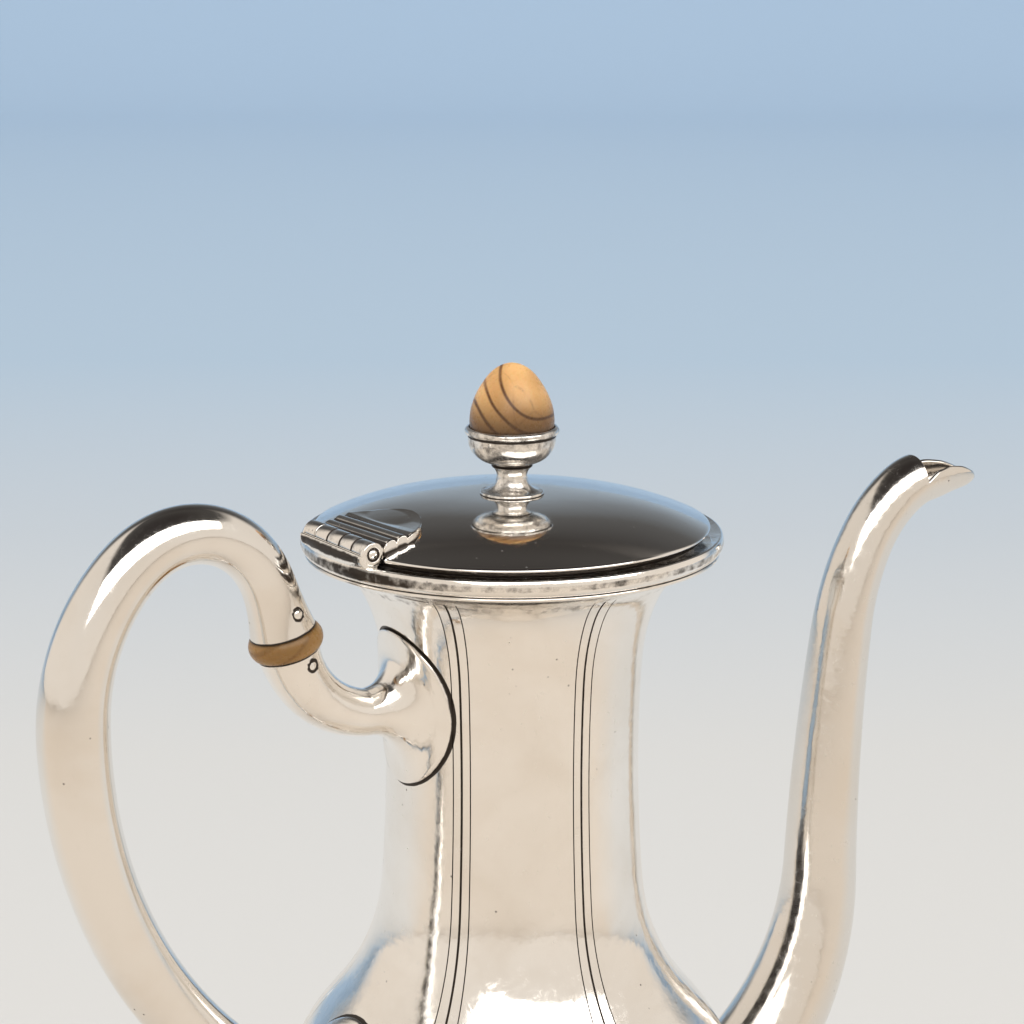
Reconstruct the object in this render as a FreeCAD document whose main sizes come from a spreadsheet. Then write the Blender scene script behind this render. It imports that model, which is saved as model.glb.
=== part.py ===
import FreeCAD, Part
import math
import os

import Sketcher
from FreeCAD import Placement, Rotation, Vector

# A silver coffee pot: a raised body with a spreading foot and a moulded rim, a tall spout, a hollow
# loop handle held between two ivory insulators, and a domed lid that turns on a five-knuckle hinge
# and carries an ivory finial.
# Millimetres and degrees. Z is up, the foot stands on Z = 0 and the pot's axis is the Z axis.
# The spout points along +X and the handle along -X.

DIMENSIONS = {
    # Body: a chain of tangent arcs that leaves the waist upward and downward.
    "waist_radius": 28.4,
    "waist_height": 148.0,
    "throat_arc": 302.0,
    "throat_top": 170.0,
    "flare_arc": 40.0,
    "flare_top": 185.5,
    "lip_arc": 14.0,
    "body_top": 193.0,
    "neck_arc": 396.0,
    "neck_bottom": 117.0,
    "shoulder_arc": 45.0,
    "shoulder_bottom": 90.0,
    "belly_arc": 47.5,
    "belly_bottom": 26.0,
    "base_arc": 16.0,
    "base_floor": 20.8,
    "base_floor_radius": 30.0,
    "wall": 1.2,
    # Engraved upright lines, three to a group, six groups round the body.
    "line_depth": 0.3,
    "thick_line": 0.45,
    "thin_line": 0.25,
    "line_spread": 4.1,
    "panel_angle": 55.0,
    "line_bottom": 30.0,
    "line_top": 190.0,
    # Strainer: holes pierced in the body wall behind the spout.
    "strainer_height": 50.0,
    "strainer_hole": 1.5,
    "strainer_pitch": 4.6,
    # Foot: a spun skirt with an applied moulding round its edge.
    "skirt_top_radius": 39.0,
    "skirt_top": 30.0,
    "skirt_arc": 13.0,
    "skirt_edge_radius": 38.0,
    "skirt_edge_height": 7.5,
    "skirt_wall": 1.4,
    "foot_inner_radius": 36.0,
    "foot_radius": 41.0,
    "foot_bead_arc": 3.5,
    "foot_bead_height": 5.0,
    "foot_bead_top": 7.5,
    # Rim moulding.
    "rim_inner_radius": 38.0,
    "rim_seat_radius": 41.0,
    "rim_seat_height": 199.1,
    "rim_shelf_radius": 41.6,
    "rim_shelf_height": 197.9,
    "rim_lip_radius": 46.6,
    "rim_lip_height": 198.1,
    "rim_band_arc": 1.9,
    "rim_groove_radius": 46.0,
    "rim_groove_height": 195.4,
    "rim_bead_arc": 1.0,
    "rim_bead_radius": 46.2,
    "rim_bead_height": 194.6,
    "rim_under_radius": 45.6,
    "rim_under_height": 193.4,
    "rim_foot_radius": 44.5,
    # Lid: a shallow dome with a flat seat and a locating flange below.
    "lid_radius": 44.0,
    "lid_top": 206.7,
    "lid_crown_arc": 240.0,
    "lid_crown_radius": 24.0,
    "lid_crown_height": 205.5,
    "lid_rise_arc": 62.0,
    "lid_edge_height": 200.0,
    "lid_seat_height": 199.2,
    "lid_seat_radius": 40.5,
    "lid_inner_radius": 39.0,
    "lid_inner_height": 200.9,
    "lid_inner_crown_height": 204.3,
    "lid_inner_top": 205.5,
    "bezel_radius": 37.5,
    "bezel_inner_radius": 36.3,
    "bezel_bottom": 195.5,
    "bezel_top": 202.2,
    # Hinge: barrel along Y behind the lid, over the rim.
    "hinge_offset": 43.1,
    "hinge_height": 200.8,
    "barrel_radius": 2.6,
    "barrel_length": 26.4,
    "knuckle_gap": 0.12,
    "pin_radius": 1.15,
    "pin_length": 26.8,
    "running_clearance": 0.06,
    "cradle_clearance": 0.15,
    "rim_leaf_back": 46.9,
    "rim_leaf_ridge": 46.5,
    "rim_leaf_inside": 42.2,
    "rim_leaf_bottom": 197.5,
    "rim_leaf_ridge_height": 200.9,
    "rim_leaf_hollow": 5.0,
    "lid_leaf_start": 40.2,
    "lid_leaf_shoulder": 34.0,
    "lid_leaf_tip": 26.0,
    "lid_leaf_half_width": 13.9,
    "lid_leaf_flare": 14.3,
    "lid_leaf_tip_arc": 16.8,
    "lid_leaf_start_height": 203.2,
    "lid_leaf_tip_height": 205.9,
    "lid_leaf_bottom": 199.6,
    "reed_radius": 0.8,
    "reed_pitch": 2.3,
    "reed_first": 38.9,
    "notch_width": 28.6,
    "notch_depth": 40.2,
    # Finial: a turned stem and cup under an ivory egg, on a stud that passes through the lid.
    "stem_bottom": 206.65,
    "stem_foot_radius": 7.0,
    "stem_foot_inner": 6.0,
    "stem_recess": 206.95,
    "stem_foot_edge": 207.3,
    "stem_foot_arc": 4.6,
    "stem_waist_radius": 3.4,
    "stem_waist_height": 210.7,
    "stem_neck_arc": 3.4,
    "stem_top_radius": 4.6,
    "stem_top": 213.0,
    "cup_arc": 8.6,
    "cup_side_radius": 9.8,
    "cup_side_height": 217.9,
    "cup_bead_radius": 9.9,
    "cup_bead_bottom": 220.1,
    "cup_bead_arc": 0.95,
    "cup_mouth_radius": 9.65,
    "cup_top": 221.8,
    "cup_floor_radius": 7.6,
    "cup_floor": 218.6,
    "egg_floor_radius": 7.4,
    "egg_side_radius": 9.45,
    "egg_lower_arc": 14.0,
    "egg_shoulder_radius": 7.4,
    "egg_shoulder_height": 230.2,
    "egg_upper_arc": 7.5,
    "egg_crown_radius": 3.05,
    "egg_crown_height": 235.4,
    "egg_crown_arc": 4.0,
    "egg_tip_radius": 0.3,
    "egg_top": 236.4,
    "stud_radius": 1.5,
    "stud_bottom": 200.8,
    "stud_length": 27.2,
    "washer_radius": 5.0,
    "washer_bottom": 204.4,
    "washer_height": 1.0,
    "nut_radius": 3.7,
    "nut_height": 2.6,
    # Insulators: an ivory band with a tenon each way, held by a cross pin in each tenon.
    "band_half_height": 2.5,
    "band_edge_radius": 7.2,
    "band_arc": 3.5,
    "tenon_radius": 4.4,
    "handle_tenon_length": 9.0,
    "socket_tenon_length": 6.0,
    "cross_pin_radius": 1.2,
    "handle_pin_distance": 7.0,
    "socket_pin_distance": 5.2,
    "cross_pin_length": 13.2,
    "heel_pin_length": 14.8,
    "tube_wall": 1.1,
    # Handle: from the upper insulator over the arch and down the back to the lower insulator.
    "upper_ring_x": -57.5,
    "upper_ring_z": 181.0,
    "upper_ring_heading": 106.0,
    "handle_start_width": 14.6,
    "handle_collar_length": 4.2,
    "handle_collar_width": 12.5,
    "handle_neck_length": 6.1,
    "handle_neck_width": 11.7,
    "handle_arch_radius": 20.0,
    "handle_arch_turn": 117.5,
    "handle_arch_width": 13.7,
    "handle_shoulder_radius": 45.2,
    "handle_shoulder_turn": 46.5,
    "handle_shoulder_width": 15.7,
    "handle_back_radius": 115.0,
    "handle_back_turn": 18.0,
    "handle_back_width": 14.9,
    "handle_heel_radius": 104.0,
    "handle_heel_turn": 31.0,
    "handle_heel_width": 14.6,
    # Handle sockets: short bent tubes from an insulator to a flange on the body.
    "socket_start_width": 13.8,
    "upper_socket_stub_length": 1.0,
    "upper_socket_stub_width": 13.2,
    "upper_socket_bend_radius": 22.0,
    "upper_socket_bend_turn": 74.0,
    "upper_socket_bend_width": 10.2,
    "upper_socket_root_length": 10.0,
    "upper_socket_root_width": 13.0,
    "lower_socket_stub_length": 3.0,
    "lower_socket_stub_width": 13.0,
    "lower_socket_bend_radius": 30.0,
    "lower_socket_bend_turn": 24.6,
    "lower_socket_bend_width": 11.4,
    "lower_socket_root_length": 12.0,
    "lower_socket_root_width": 14.0,
    "flange_half_height": 17.5,
    "flange_half_width": 15.0,
    "flange_thickness": 1.2,
    "flange_reach": 12.0,
    "trumpet_length": 9.0,
    "trumpet_foot_radius": 13.5,
    "trumpet_arc": 10.0,
    "upper_flange_x": -27.0,
    "upper_flange_z": 161.0,
    "upper_flange_heading": 180.0,
    "upper_trumpet_radius": 5.2,
    "lower_flange_x": -48.0,
    "lower_flange_z": 75.0,
    "lower_flange_heading": 163.6,
    "lower_trumpet_radius": 5.8,
    # Spout: from the belly up to the open lip, then a trough that narrows to the tip.
    "spout_start_x": 50.0,
    "spout_start_z": 46.0,
    "spout_start_heading": 25.0,
    "spout_start_width": 27.0,
    "spout_inner_end": 14.0,
    "spout_inner_width": 20.0,
    "spout_root_radius": 65.5,
    "spout_root_turn": 63.5,
    "spout_root_width": 17.6,
    "spout_stem_radius": 500.0,
    "spout_stem_turn": -6.9,
    "spout_stem_width": 14.3,
    "spout_bend_radius": 58.0,
    "spout_bend_turn": -21.6,
    "spout_bend_width": 13.0,
    "spout_crest_radius": 32.0,
    "spout_crest_turn": -35.0,
    "spout_crest_width": 12.6,
    "spout_wall": 1.0,
    "trough_start": 120.4,
    "trough_start_height": 197.1,
    "trough_start_width": 11.2,
    "trough_middle": 124.7,
    "trough_middle_height": 197.4,
    "trough_middle_width": 8.8,
    "trough_beak": 129.0,
    "trough_beak_height": 196.6,
    "trough_beak_width": 4.8,
    "spout_tip": 131.8,
    "spout_tip_height": 196.5,
    "spout_tip_width": 1.2,
    "mouth_top": 116.5,
    "mouth_top_height": 201.2,
    "mouth_notch": 114.1,
    "mouth_notch_height": 197.8,
    "mouth_crest": 121.5,
    "mouth_crest_height": 199.4,
    "mouth_tip_height": 196.2,
    "mouth_clear": 210.0,
    "mouth_width": 20.0,
}

SHEET_NAME = "dims"
STRAINER_RINGS = 2
KNUCKLES = 5
REEDS = 2
LINE_GROUPS = (0.0, 1.0, -1.0)
GROUP_LINES = (-1, 0, 1)

document = FreeCAD.newDocument("coffee_pot")
sheet = document.addObject("Spreadsheet::Sheet", SHEET_NAME)
for row, (alias, size) in enumerate(DIMENSIONS.items(), start=1):
    sheet.set(f"A{row}", alias)
    sheet.set(f"B{row}", str(size))
    sheet.setAlias(f"B{row}", alias)
document.recompute()


def measure(text):
    """The number that a sum of sheet names stands for, such as 'lid_radius - wall'."""
    total = 0.0
    sign = 1
    for word in text.split():
        if word == "+":
            sign = 1
        elif word == "-":
            sign = -1
        elif word != "0":
            total += sign * getattr(sheet, word)
    return total


def formula(text):
    """The same sum, written as an expression on the spreadsheet's cells."""
    words = [word if word in ("+", "-", "0") else f"{SHEET_NAME}.{word}" for word in text.split()]
    return " ".join(words)


class Outline:
    """A closed outline in a body's own XZ plane, fixed by sums of sheet names."""

    def __init__(self, name, plane="XZ_Plane"):
        self.body = document.addObject("PartDesign::Body", name)
        self.sketch = self.body.newObject("Sketcher::SketchObject", f"{name}_outline")
        planes = {plane.Role: plane for plane in self.body.Origin.OriginFeatures}
        self.sketch.AttachmentSupport = [(planes[plane], "")]
        self.sketch.MapMode = "FlatFace"
        self.name = name
        self.first = None
        self.last = None
        self.at = None

    def bind(self, kind, where, text):
        """Adds one dimension and ties it to the sheet."""
        index = self.sketch.addConstraint(Sketcher.Constraint(kind, *where, measure(text)))
        self.sketch.setExpression(f"Constraints[{index}]", formula(text))

    def place(self, corner, x, z):
        """Fixes one corner at distances x and z from the origin."""
        if x == "0":
            self.sketch.addConstraint(Sketcher.Constraint("PointOnObject", *corner, -2))
        else:
            self.bind("DistanceX", (-1, 1, *corner), x)
        if z == "0":
            self.sketch.addConstraint(Sketcher.Constraint("PointOnObject", *corner, -1))
        else:
            self.bind("DistanceY", (-1, 1, *corner), z)

    def start(self, x, z):
        self.at = (x, z)
        self.home = (x, z)
        return self

    def join(self, start, end, x, z):
        """Ties a new edge to the one before and fixes its far end."""
        if self.last is None:
            self.first = start
            self.place(start, *self.at)
        else:
            self.sketch.addConstraint(Sketcher.Constraint("Coincident", *self.last, *start))
        if (x, z) == self.home:
            self.sketch.addConstraint(Sketcher.Constraint("Coincident", *end, *self.first))
        else:
            self.place(end, x, z)
        self.last = end
        self.at = (x, z)

    def line(self, x, z):
        here = Vector(measure(self.at[0]), measure(self.at[1]))
        there = Vector(measure(x), measure(z))
        edge = self.sketch.addGeometry(Part.LineSegment(here, there))
        self.join((edge, 1), (edge, 2), x, z)
        return self

    def arc(self, x, z, radius, side):
        """An arc to (x, z); side is 1 for an arc that turns left and -1 for one that turns right."""
        here = Vector(measure(self.at[0]), measure(self.at[1]))
        there = Vector(measure(x), measure(z))
        chord = there - here
        reach = math.sqrt(measure(radius) ** 2 - (chord.Length / 2) ** 2)
        left = Vector(-chord.y, chord.x).normalize()
        centre = (here + there) / 2 + left * (reach * side)
        begin, finish = (here, there) if side > 0 else (there, here)
        circle = Part.Circle(centre, Vector(0, 0, 1), measure(radius))
        angles = [math.atan2(point.y - centre.y, point.x - centre.x) for point in (begin, finish)]
        edge = self.sketch.addGeometry(Part.ArcOfCircle(circle, *angles))
        ends = ((edge, 1), (edge, 2)) if side > 0 else ((edge, 2), (edge, 1))
        self.bind("Radius", (edge,), radius)
        self.join(*ends, x, z)
        return self

    def close(self):
        return self.line(*self.home)

    def revolve(self):
        """Turns the outline about the body's Z axis."""
        turned = self.body.newObject("PartDesign::Revolution", f"{self.name}_turned")
        turned.Profile = self.sketch
        turned.ReferenceAxis = (self.sketch, ["V_Axis"])
        turned.Angle = 360
        self.sketch.Visibility = False
        document.recompute()
        return self.body

    def pad(self, length):
        """Extrudes the outline equally to both sides of its plane."""
        padded = self.body.newObject("PartDesign::Pad", f"{self.name}_pad")
        padded.Profile = self.sketch
        padded.SideType = "Symmetric"
        padded.setExpression("Length", formula(length))
        document.recompute()
        return self.body


# ---------------------------------------------------------------- shared tools


def primitive(kind, name, place, **sizes):
    """A Part primitive whose sizes are bound to the sheet."""
    thing = document.addObject(f"Part::{kind}", name)
    for size, text in sizes.items():
        thing.setExpression(size, formula(text))
    thing.Placement = place
    return thing


def cut(name, base, *tools):
    """Boolean cuts of one solid by any number of tools, one after another."""
    for number, tool in enumerate(tools, start=1):
        last = number == len(tools)
        result = document.addObject("Part::Cut", name if last else f"{name}_before_{number}")
        result.Base = base
        result.Tool = tool
        document.recompute()
        base = result
    return base


def fuse(name, *parts):
    """A boolean union."""
    result = document.addObject("Part::MultiFuse", name)
    result.Shapes = list(parts)
    document.recompute()
    return result


def feature(name, shape, place=Placement()):
    """A part whose shape is worked out by a formula."""
    thing = document.addObject("Part::Feature", name)
    thing.Shape = shape
    thing.Placement = place
    return thing


def upright(x=0.0, y=0.0, z=0.0):
    return Placement(Vector(x, y, z), Rotation())


def along_y(x, y, z):
    """A placement that lays a piece's own Z axis along +Y."""
    return Placement(Vector(x, y, z), Rotation(Vector(1, 0, 0), -90))


def tilted(x, z, heading):
    """A placement in the XZ plane whose own Z axis points along a heading from +X."""
    return Placement(Vector(x, 0, z), Rotation(Vector(0, 1, 0), 90 - heading))


def step_along(x, z, heading, distance):
    """The point a distance away along a heading in the XZ plane."""
    turn = math.radians(heading)
    return x + distance * math.cos(turn), z + distance * math.sin(turn)


STATION_SPACING = 10.0


def walk(x, z, heading, width, legs):
    """Stations (x, z, heading, width) along tangent straight and curved legs named in the sheet."""
    stations = [(x, z, heading, width)]
    for leg in legs:
        turn = measure(f"{leg}_turn") if f"{leg}_turn" in DIMENSIONS else 0.0
        radius = measure(f"{leg}_radius") if turn else 0.0
        length = abs(math.radians(turn)) * radius if turn else measure(f"{leg}_length")
        end_width = measure(f"{leg}_width")
        count = math.ceil(length / STATION_SPACING)
        for number in range(1, count + 1):
            chord = length / count
            if turn:
                chord = 2 * radius * math.sin(math.radians(abs(turn)) / count / 2)
            x, z = step_along(x, z, heading + turn / count / 2, chord)
            heading += turn / count
            stations.append((x, z, heading, width + (end_width - width) * number / count))
        width = end_width
    return stations


def tube(stations, thinner=0.0, overrun=0.0):
    """A solid lofted through circles set square to a path; overrun lengthens both ends."""
    rounds = list(stations)
    if overrun:
        x, z, heading, width = rounds[0]
        rounds.insert(0, (*step_along(x, z, heading, -overrun), heading, width))
        x, z, heading, width = rounds[-1]
        rounds.append((*step_along(x, z, heading, overrun), heading, width))
    wires = []
    for x, z, heading, width in rounds:
        wire = Part.Wire(Part.makeCircle(width / 2 - thinner))
        wire.Placement = tilted(x, z, heading)
        wires.append(wire)
    return Part.makeLoft(wires, True, False)


# ---------------------------------------------------------------- body envelope


def leave(point, tilt, arc, height, concave=True):
    """Follows one arc of the body's outline to a height; returns its centre, far end and tilt."""
    radius = measure(arc)
    bend = 1 if concave else -1
    away = 1 if height > point.y else -1
    new_tilt = math.asin(math.sin(tilt) + bend * abs(height - point.y) / radius)
    centre = Vector(point.x + bend * radius * math.cos(tilt),
                    point.y - bend * away * radius * math.sin(tilt))
    end = Vector(centre.x - bend * radius * math.cos(new_tilt), height)
    return centre, end, new_tilt


UPPER_ARCS = (("throat_arc", "throat_top", True), ("flare_arc", "flare_top", True),
              ("lip_arc", "body_top", True))
LOWER_ARCS = (("neck_arc", "neck_bottom", True), ("shoulder_arc", "shoulder_bottom", True),
              ("belly_arc", "belly_bottom", False))


def body_legs(arcs):
    """The arcs that leave the waist one way: (arc, height, concave, centre, near end, far end, tilt)."""
    legs = []
    point, tilt = Vector(measure("waist_radius"), measure("waist_height")), 0.0
    for arc, height, concave in arcs:
        centre, end, tilt = leave(point, tilt, arc, measure(height), concave)
        legs.append((arc, height, concave, centre, point, end, tilt))
        point = end
    return legs


def body_envelope():
    """The pot's outside: a chain of tangent arcs turned about the axis, closed top and bottom."""
    outline = Outline("body_envelope")
    sketch = outline.sketch
    waist = Vector(measure("waist_radius"), measure("waist_height"))
    arcs = [(arc, height, centre, end, start)
            for arc, height, _, centre, start, end, _ in reversed(body_legs(UPPER_ARCS))]
    lower_legs = body_legs(LOWER_ARCS)
    arcs += [(arc, height, centre, start, end) for arc, height, _, centre, start, end, _ in lower_legs]
    point, tilt = lower_legs[-1][5:]
    base = measure("base_arc")
    base_centre = point - Vector(base * math.cos(tilt), base * math.sin(tilt))
    arcs.append(("base_arc", None, base_centre, point, base_centre - Vector(0, base)))

    top = Vector(0, measure("body_top"))
    foot = Vector(0, arcs[-1][4].y)
    lid_line = sketch.addGeometry(Part.LineSegment(top, arcs[0][3]))
    sketch.addConstraint(Sketcher.Constraint("Horizontal", lid_line))
    last = (lid_line, 2)
    for arc, height, centre, upper, lower in arcs:
        begin, finish = (upper, lower) if centre.x > upper.x else (lower, upper)
        angles = [math.atan2(spot.y - centre.y, spot.x - centre.x) for spot in (begin, finish)]
        if angles[1] < angles[0]:
            angles[1] += 2 * math.pi
        circle = Part.Circle(centre, Vector(0, 0, 1), measure(arc))
        edge = sketch.addGeometry(Part.ArcOfCircle(circle, *angles))
        high, low = ((edge, 1), (edge, 2)) if begin is upper else ((edge, 2), (edge, 1))
        kind = "Coincident" if edge == 1 else "Tangent"
        sketch.addConstraint(Sketcher.Constraint(kind, *last, *high))
        outline.bind("Radius", (edge,), arc)
        if arc == "neck_arc":
            sketch.addConstraint(Sketcher.Constraint("Horizontal", edge, 3, *high))
            outline.place(high, "waist_radius", "waist_height")
        if height and (upper.y > waist.y or lower.y < waist.y):
            outline.bind("DistanceY", (-1, 1, *(high if upper.y > waist.y else low)), height)
        last = low
    floor = sketch.addGeometry(Part.LineSegment(arcs[-1][4], foot))
    sketch.addConstraint(Sketcher.Constraint("Tangent", *last, floor, 1))
    sketch.addConstraint(Sketcher.Constraint("Horizontal", floor))
    axis = sketch.addGeometry(Part.LineSegment(foot, top))
    sketch.addConstraint(Sketcher.Constraint("Coincident", floor, 2, axis, 1))
    sketch.addConstraint(Sketcher.Constraint("Coincident", axis, 2, lid_line, 1))
    sketch.addConstraint(Sketcher.Constraint("PointOnObject", axis, 1, -2))
    sketch.addConstraint(Sketcher.Constraint("Vertical", axis))
    return outline.revolve()


def body_layer(name, depth):
    """The envelope's surface moved inward by a depth, each arc kept about its own centre."""

    def moved(centre, spot, arc, concave):
        """The point of an arc, moved in, on the line from its centre."""
        size = measure(arc) + (depth if concave else -depth)
        flat = centre + (spot - centre).normalize() * size
        return Vector(flat.x, 0, flat.y)

    edges = []
    for arcs in (UPPER_ARCS, LOWER_ARCS):
        for arc, _, concave, centre, start, end, _ in body_legs(arcs):
            middle = centre + (start - centre) + (end - centre)
            spots = [moved(centre, spot, arc, concave) for spot in (start, middle, end)]
            edges.append(Part.Arc(*spots).toShape())
        if arcs is UPPER_ARCS:
            top = spots[2]
    low = spots[2]
    above = top.z + measure("wall")
    floor = measure("base_floor") + depth
    corner = measure("base_floor_radius")
    corners = [top, Vector(top.x, 0, above), Vector(0, 0, above), Vector(0, 0, floor),
               Vector(corner, 0, floor), low]
    edges += [Part.makeLine(near, far) for near, far in zip(corners, corners[1:])]
    outline = Part.Face(Part.Wire(Part.__sortEdges__(edges)))
    return feature(name, outline.revolve(Vector(0, 0, 0), Vector(0, 0, 1), 360))


envelope = body_envelope()
line_floor = body_layer("line_floor", measure("line_depth"))
flange_skin = body_layer("flange_skin", -measure("flange_thickness"))
cavity = body_layer("cavity", measure("wall"))

# ---------------------------------------------------------------- body


def engraving():
    """Thin upright blades, kept only where they lie within the line depth of the surface."""
    low = measure("line_bottom")
    tall = measure("line_top") - low
    reach = measure("lid_radius + lid_radius")
    blades = []
    for side in (0, 180):
        for group in LINE_GROUPS:
            for line in GROUP_LINES:
                width = measure("thin_line") if line else measure("thick_line")
                blade = Part.makeBox(width, reach, tall, Vector(-width / 2, 0, low))
                turn = side + group * measure("panel_angle") + line * measure("line_spread")
                blade.rotate(Vector(0, 0, 0), Vector(0, 0, 1), turn)
                blades.append(blade)
    skin = envelope.Shape.cut(line_floor.Shape)
    return feature("engraved_lines", Part.makeCompound(blades).common(skin))


def strainer_holes():
    """Cylinders along X through the belly wall, one in the middle and rings of six round it."""
    drills = []
    pitch = measure("strainer_pitch")
    spots = [(0.0, 0.0)]
    for ring in range(1, STRAINER_RINGS + 1):
        for number in range(6 * ring):
            turn = math.radians(60 * number / ring)
            spots.append((pitch * ring * math.cos(turn), pitch * ring * math.sin(turn)))
    for y, z in spots:
        start = Vector(measure("waist_radius"), y, measure("strainer_height") + z)
        drills.append(Part.makeCylinder(measure("strainer_hole"), measure("belly_arc"), start,
                                        Vector(1, 0, 0)))
    return feature("strainer_drills", Part.makeCompound(drills))


body_shell = cut("body_shell", envelope, cavity, strainer_holes(), engraving())

rim_moulding = (
    Outline("rim_moulding")
    .start("rim_inner_radius", "body_top")
    .line("rim_foot_radius", "body_top")
    .line("rim_under_radius", "rim_under_height")
    .arc("rim_bead_radius", "rim_bead_height", "rim_bead_arc", 1)
    .line("rim_groove_radius", "rim_groove_height")
    .arc("rim_lip_radius", "rim_lip_height", "rim_band_arc", 1)
    .line("rim_shelf_radius", "rim_shelf_height")
    .line("rim_seat_radius", "rim_seat_height")
    .line("rim_inner_radius", "rim_seat_height")
    .close()
    .revolve()
)

skirt_blank = (
    Outline("skirt_blank")
    .start("skirt_top_radius", "skirt_top")
    .arc("skirt_edge_radius", "skirt_edge_height", "skirt_arc", 1)
    .line("foot_inner_radius", "skirt_edge_height")
    .arc("skirt_top_radius - skirt_wall - skirt_wall", "skirt_top", "skirt_arc", -1)
    .close()
    .revolve()
)
foot_skirt = cut("foot_skirt", skirt_blank, envelope)

foot_moulding = (
    Outline("foot_moulding")
    .start("foot_inner_radius", "0")
    .line("foot_radius", "0")
    .arc("foot_radius", "foot_bead_height", "foot_bead_arc", 1)
    .line("skirt_edge_radius", "foot_bead_top")
    .line("foot_inner_radius", "foot_bead_top")
    .close()
    .revolve()
)

# ---------------------------------------------------------------- lid


def lid_top_outline(name):
    """The first two edges of the lid: a flat crown and a steeper rise to the edge."""
    return (
        Outline(name)
        .start("0", "lid_top")
        .arc("lid_crown_radius", "lid_crown_height", "lid_crown_arc", -1)
        .arc("lid_radius", "lid_edge_height", "lid_rise_arc", -1)
    )


lid_blank = (
    lid_top_outline("lid_blank")
    .line("lid_radius", "lid_seat_height")
    .line("lid_seat_radius", "lid_seat_height")
    .line("lid_inner_radius", "lid_inner_height")
    .arc("lid_crown_radius", "lid_inner_crown_height", "lid_rise_arc - wall", 1)
    .arc("0", "lid_inner_top", "lid_crown_arc", 1)
    .close()
    .revolve()
)
lid_mass = (
    lid_top_outline("lid_mass")
    .line("lid_radius", "bezel_bottom")
    .line("0", "bezel_bottom")
    .close()
    .revolve()
)
finial_stud = primitive("Cylinder", "finial_stud", upright(z=measure("stud_bottom")),
                        Radius="stud_radius", Height="stud_length")
barrel_notch = primitive("Box", "barrel_notch",
                         upright(x=-measure("notch_depth + notch_width"), y=-measure("notch_width") / 2,
                                 z=measure("bezel_bottom")),
                         Length="notch_width", Width="notch_width", Height="notch_width")
lid_dome = cut("lid_dome", lid_blank, finial_stud, barrel_notch)
lid_solid = cut("lid_solid", lid_mass, barrel_notch)

bezel_blank = (
    Outline("bezel_blank")
    .start("bezel_inner_radius", "bezel_bottom")
    .line("bezel_radius", "bezel_bottom")
    .line("bezel_radius", "bezel_top")
    .line("bezel_inner_radius", "bezel_top")
    .close()
    .revolve()
)
lid_bezel = cut("lid_bezel", bezel_blank, lid_blank)

# ---------------------------------------------------------------- hinge

HINGE_X = -measure("hinge_offset")
HINGE_Z = measure("hinge_height")
KNUCKLE_PITCH = measure("barrel_length") / KNUCKLES


def along_barrel(name, radius, numbers, gap):
    """Cylinders on the hinge axis, one at each numbered knuckle place, shortened by a gap at each end."""
    pieces = []
    for number in numbers:
        start = number * KNUCKLE_PITCH - measure("barrel_length") / 2 + gap
        pieces.append(Part.makeCylinder(measure(radius), KNUCKLE_PITCH - 2 * gap,
                                        Vector(HINGE_X, start, HINGE_Z), Vector(0, 1, 0)))
    return feature(name, Part.makeCompound(pieces))


fixed_places = range(0, KNUCKLES, 2)
moving_places = range(1, KNUCKLES, 2)
half_gap = measure("knuckle_gap") / 2
hinge_pin = primitive("Cylinder", "hinge_pin", along_y(HINGE_X, -measure("pin_length") / 2, HINGE_Z),
                      Radius="pin_radius", Height="pin_length")
pin_clearance = primitive("Cylinder", "pin_clearance",
                          along_y(HINGE_X, -measure("pin_length") / 2, HINGE_Z),
                          Radius="pin_radius + running_clearance", Height="pin_length")
barrel_clearance = primitive("Cylinder", "barrel_clearance",
                             along_y(HINGE_X, -measure("barrel_length") / 2, HINGE_Z),
                             Radius="barrel_radius + cradle_clearance", Height="barrel_length")

cradle = (
    Outline("cradle")
    .start("0 - rim_leaf_inside", "rim_leaf_bottom")
    .line("0 - rim_leaf_inside", "rim_seat_height")
    .line("0 - hinge_offset", "hinge_height")
    .line("0 - rim_leaf_ridge + cradle_clearance", "rim_leaf_ridge_height")
    .line("0 - rim_leaf_ridge", "rim_leaf_ridge_height")
    .arc("0 - rim_leaf_back", "rim_leaf_bottom", "rim_leaf_hollow", -1)
    .close()
    .pad("barrel_length")
)
fixed_knuckles = along_barrel("fixed_knuckles", "barrel_radius", fixed_places, half_gap)
moving_space = along_barrel("moving_space", "barrel_radius + cradle_clearance", moving_places, -half_gap)
rim_leaf_blank = fuse("rim_leaf_blank", cradle, fixed_knuckles)
rim_hinge_leaf = cut("rim_hinge_leaf", rim_leaf_blank, moving_space, hinge_pin, rim_moulding)

flap_side = (
    Outline("flap_side")
    .start("0 - lid_leaf_start", "lid_leaf_bottom")
    .line("0 - lid_leaf_start", "lid_leaf_start_height")
    .line("0 - lid_leaf_tip", "lid_leaf_tip_height")
    .line("0 - lid_leaf_tip", "lid_leaf_bottom")
    .close()
    .pad("notch_width")
)
flap_plan = (
    Outline("flap_plan", "XY_Plane")
    .start("0 - lid_leaf_start", "0 - lid_leaf_half_width")
    .line("0 - lid_leaf_shoulder", "0 - lid_leaf_flare")
    .arc("0 - lid_leaf_tip", "0", "lid_leaf_tip_arc", 1)
    .arc("0 - lid_leaf_shoulder", "lid_leaf_flare", "lid_leaf_tip_arc", 1)
    .line("0 - lid_leaf_start", "lid_leaf_half_width")
    .close()
    .pad("lid_top + lid_top + lid_top")
)
flap = document.addObject("Part::Common", "flap")
flap.Base = flap_side
flap.Tool = flap_plan
moving_knuckles = along_barrel("moving_knuckles", "barrel_radius", moving_places, half_gap)


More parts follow.
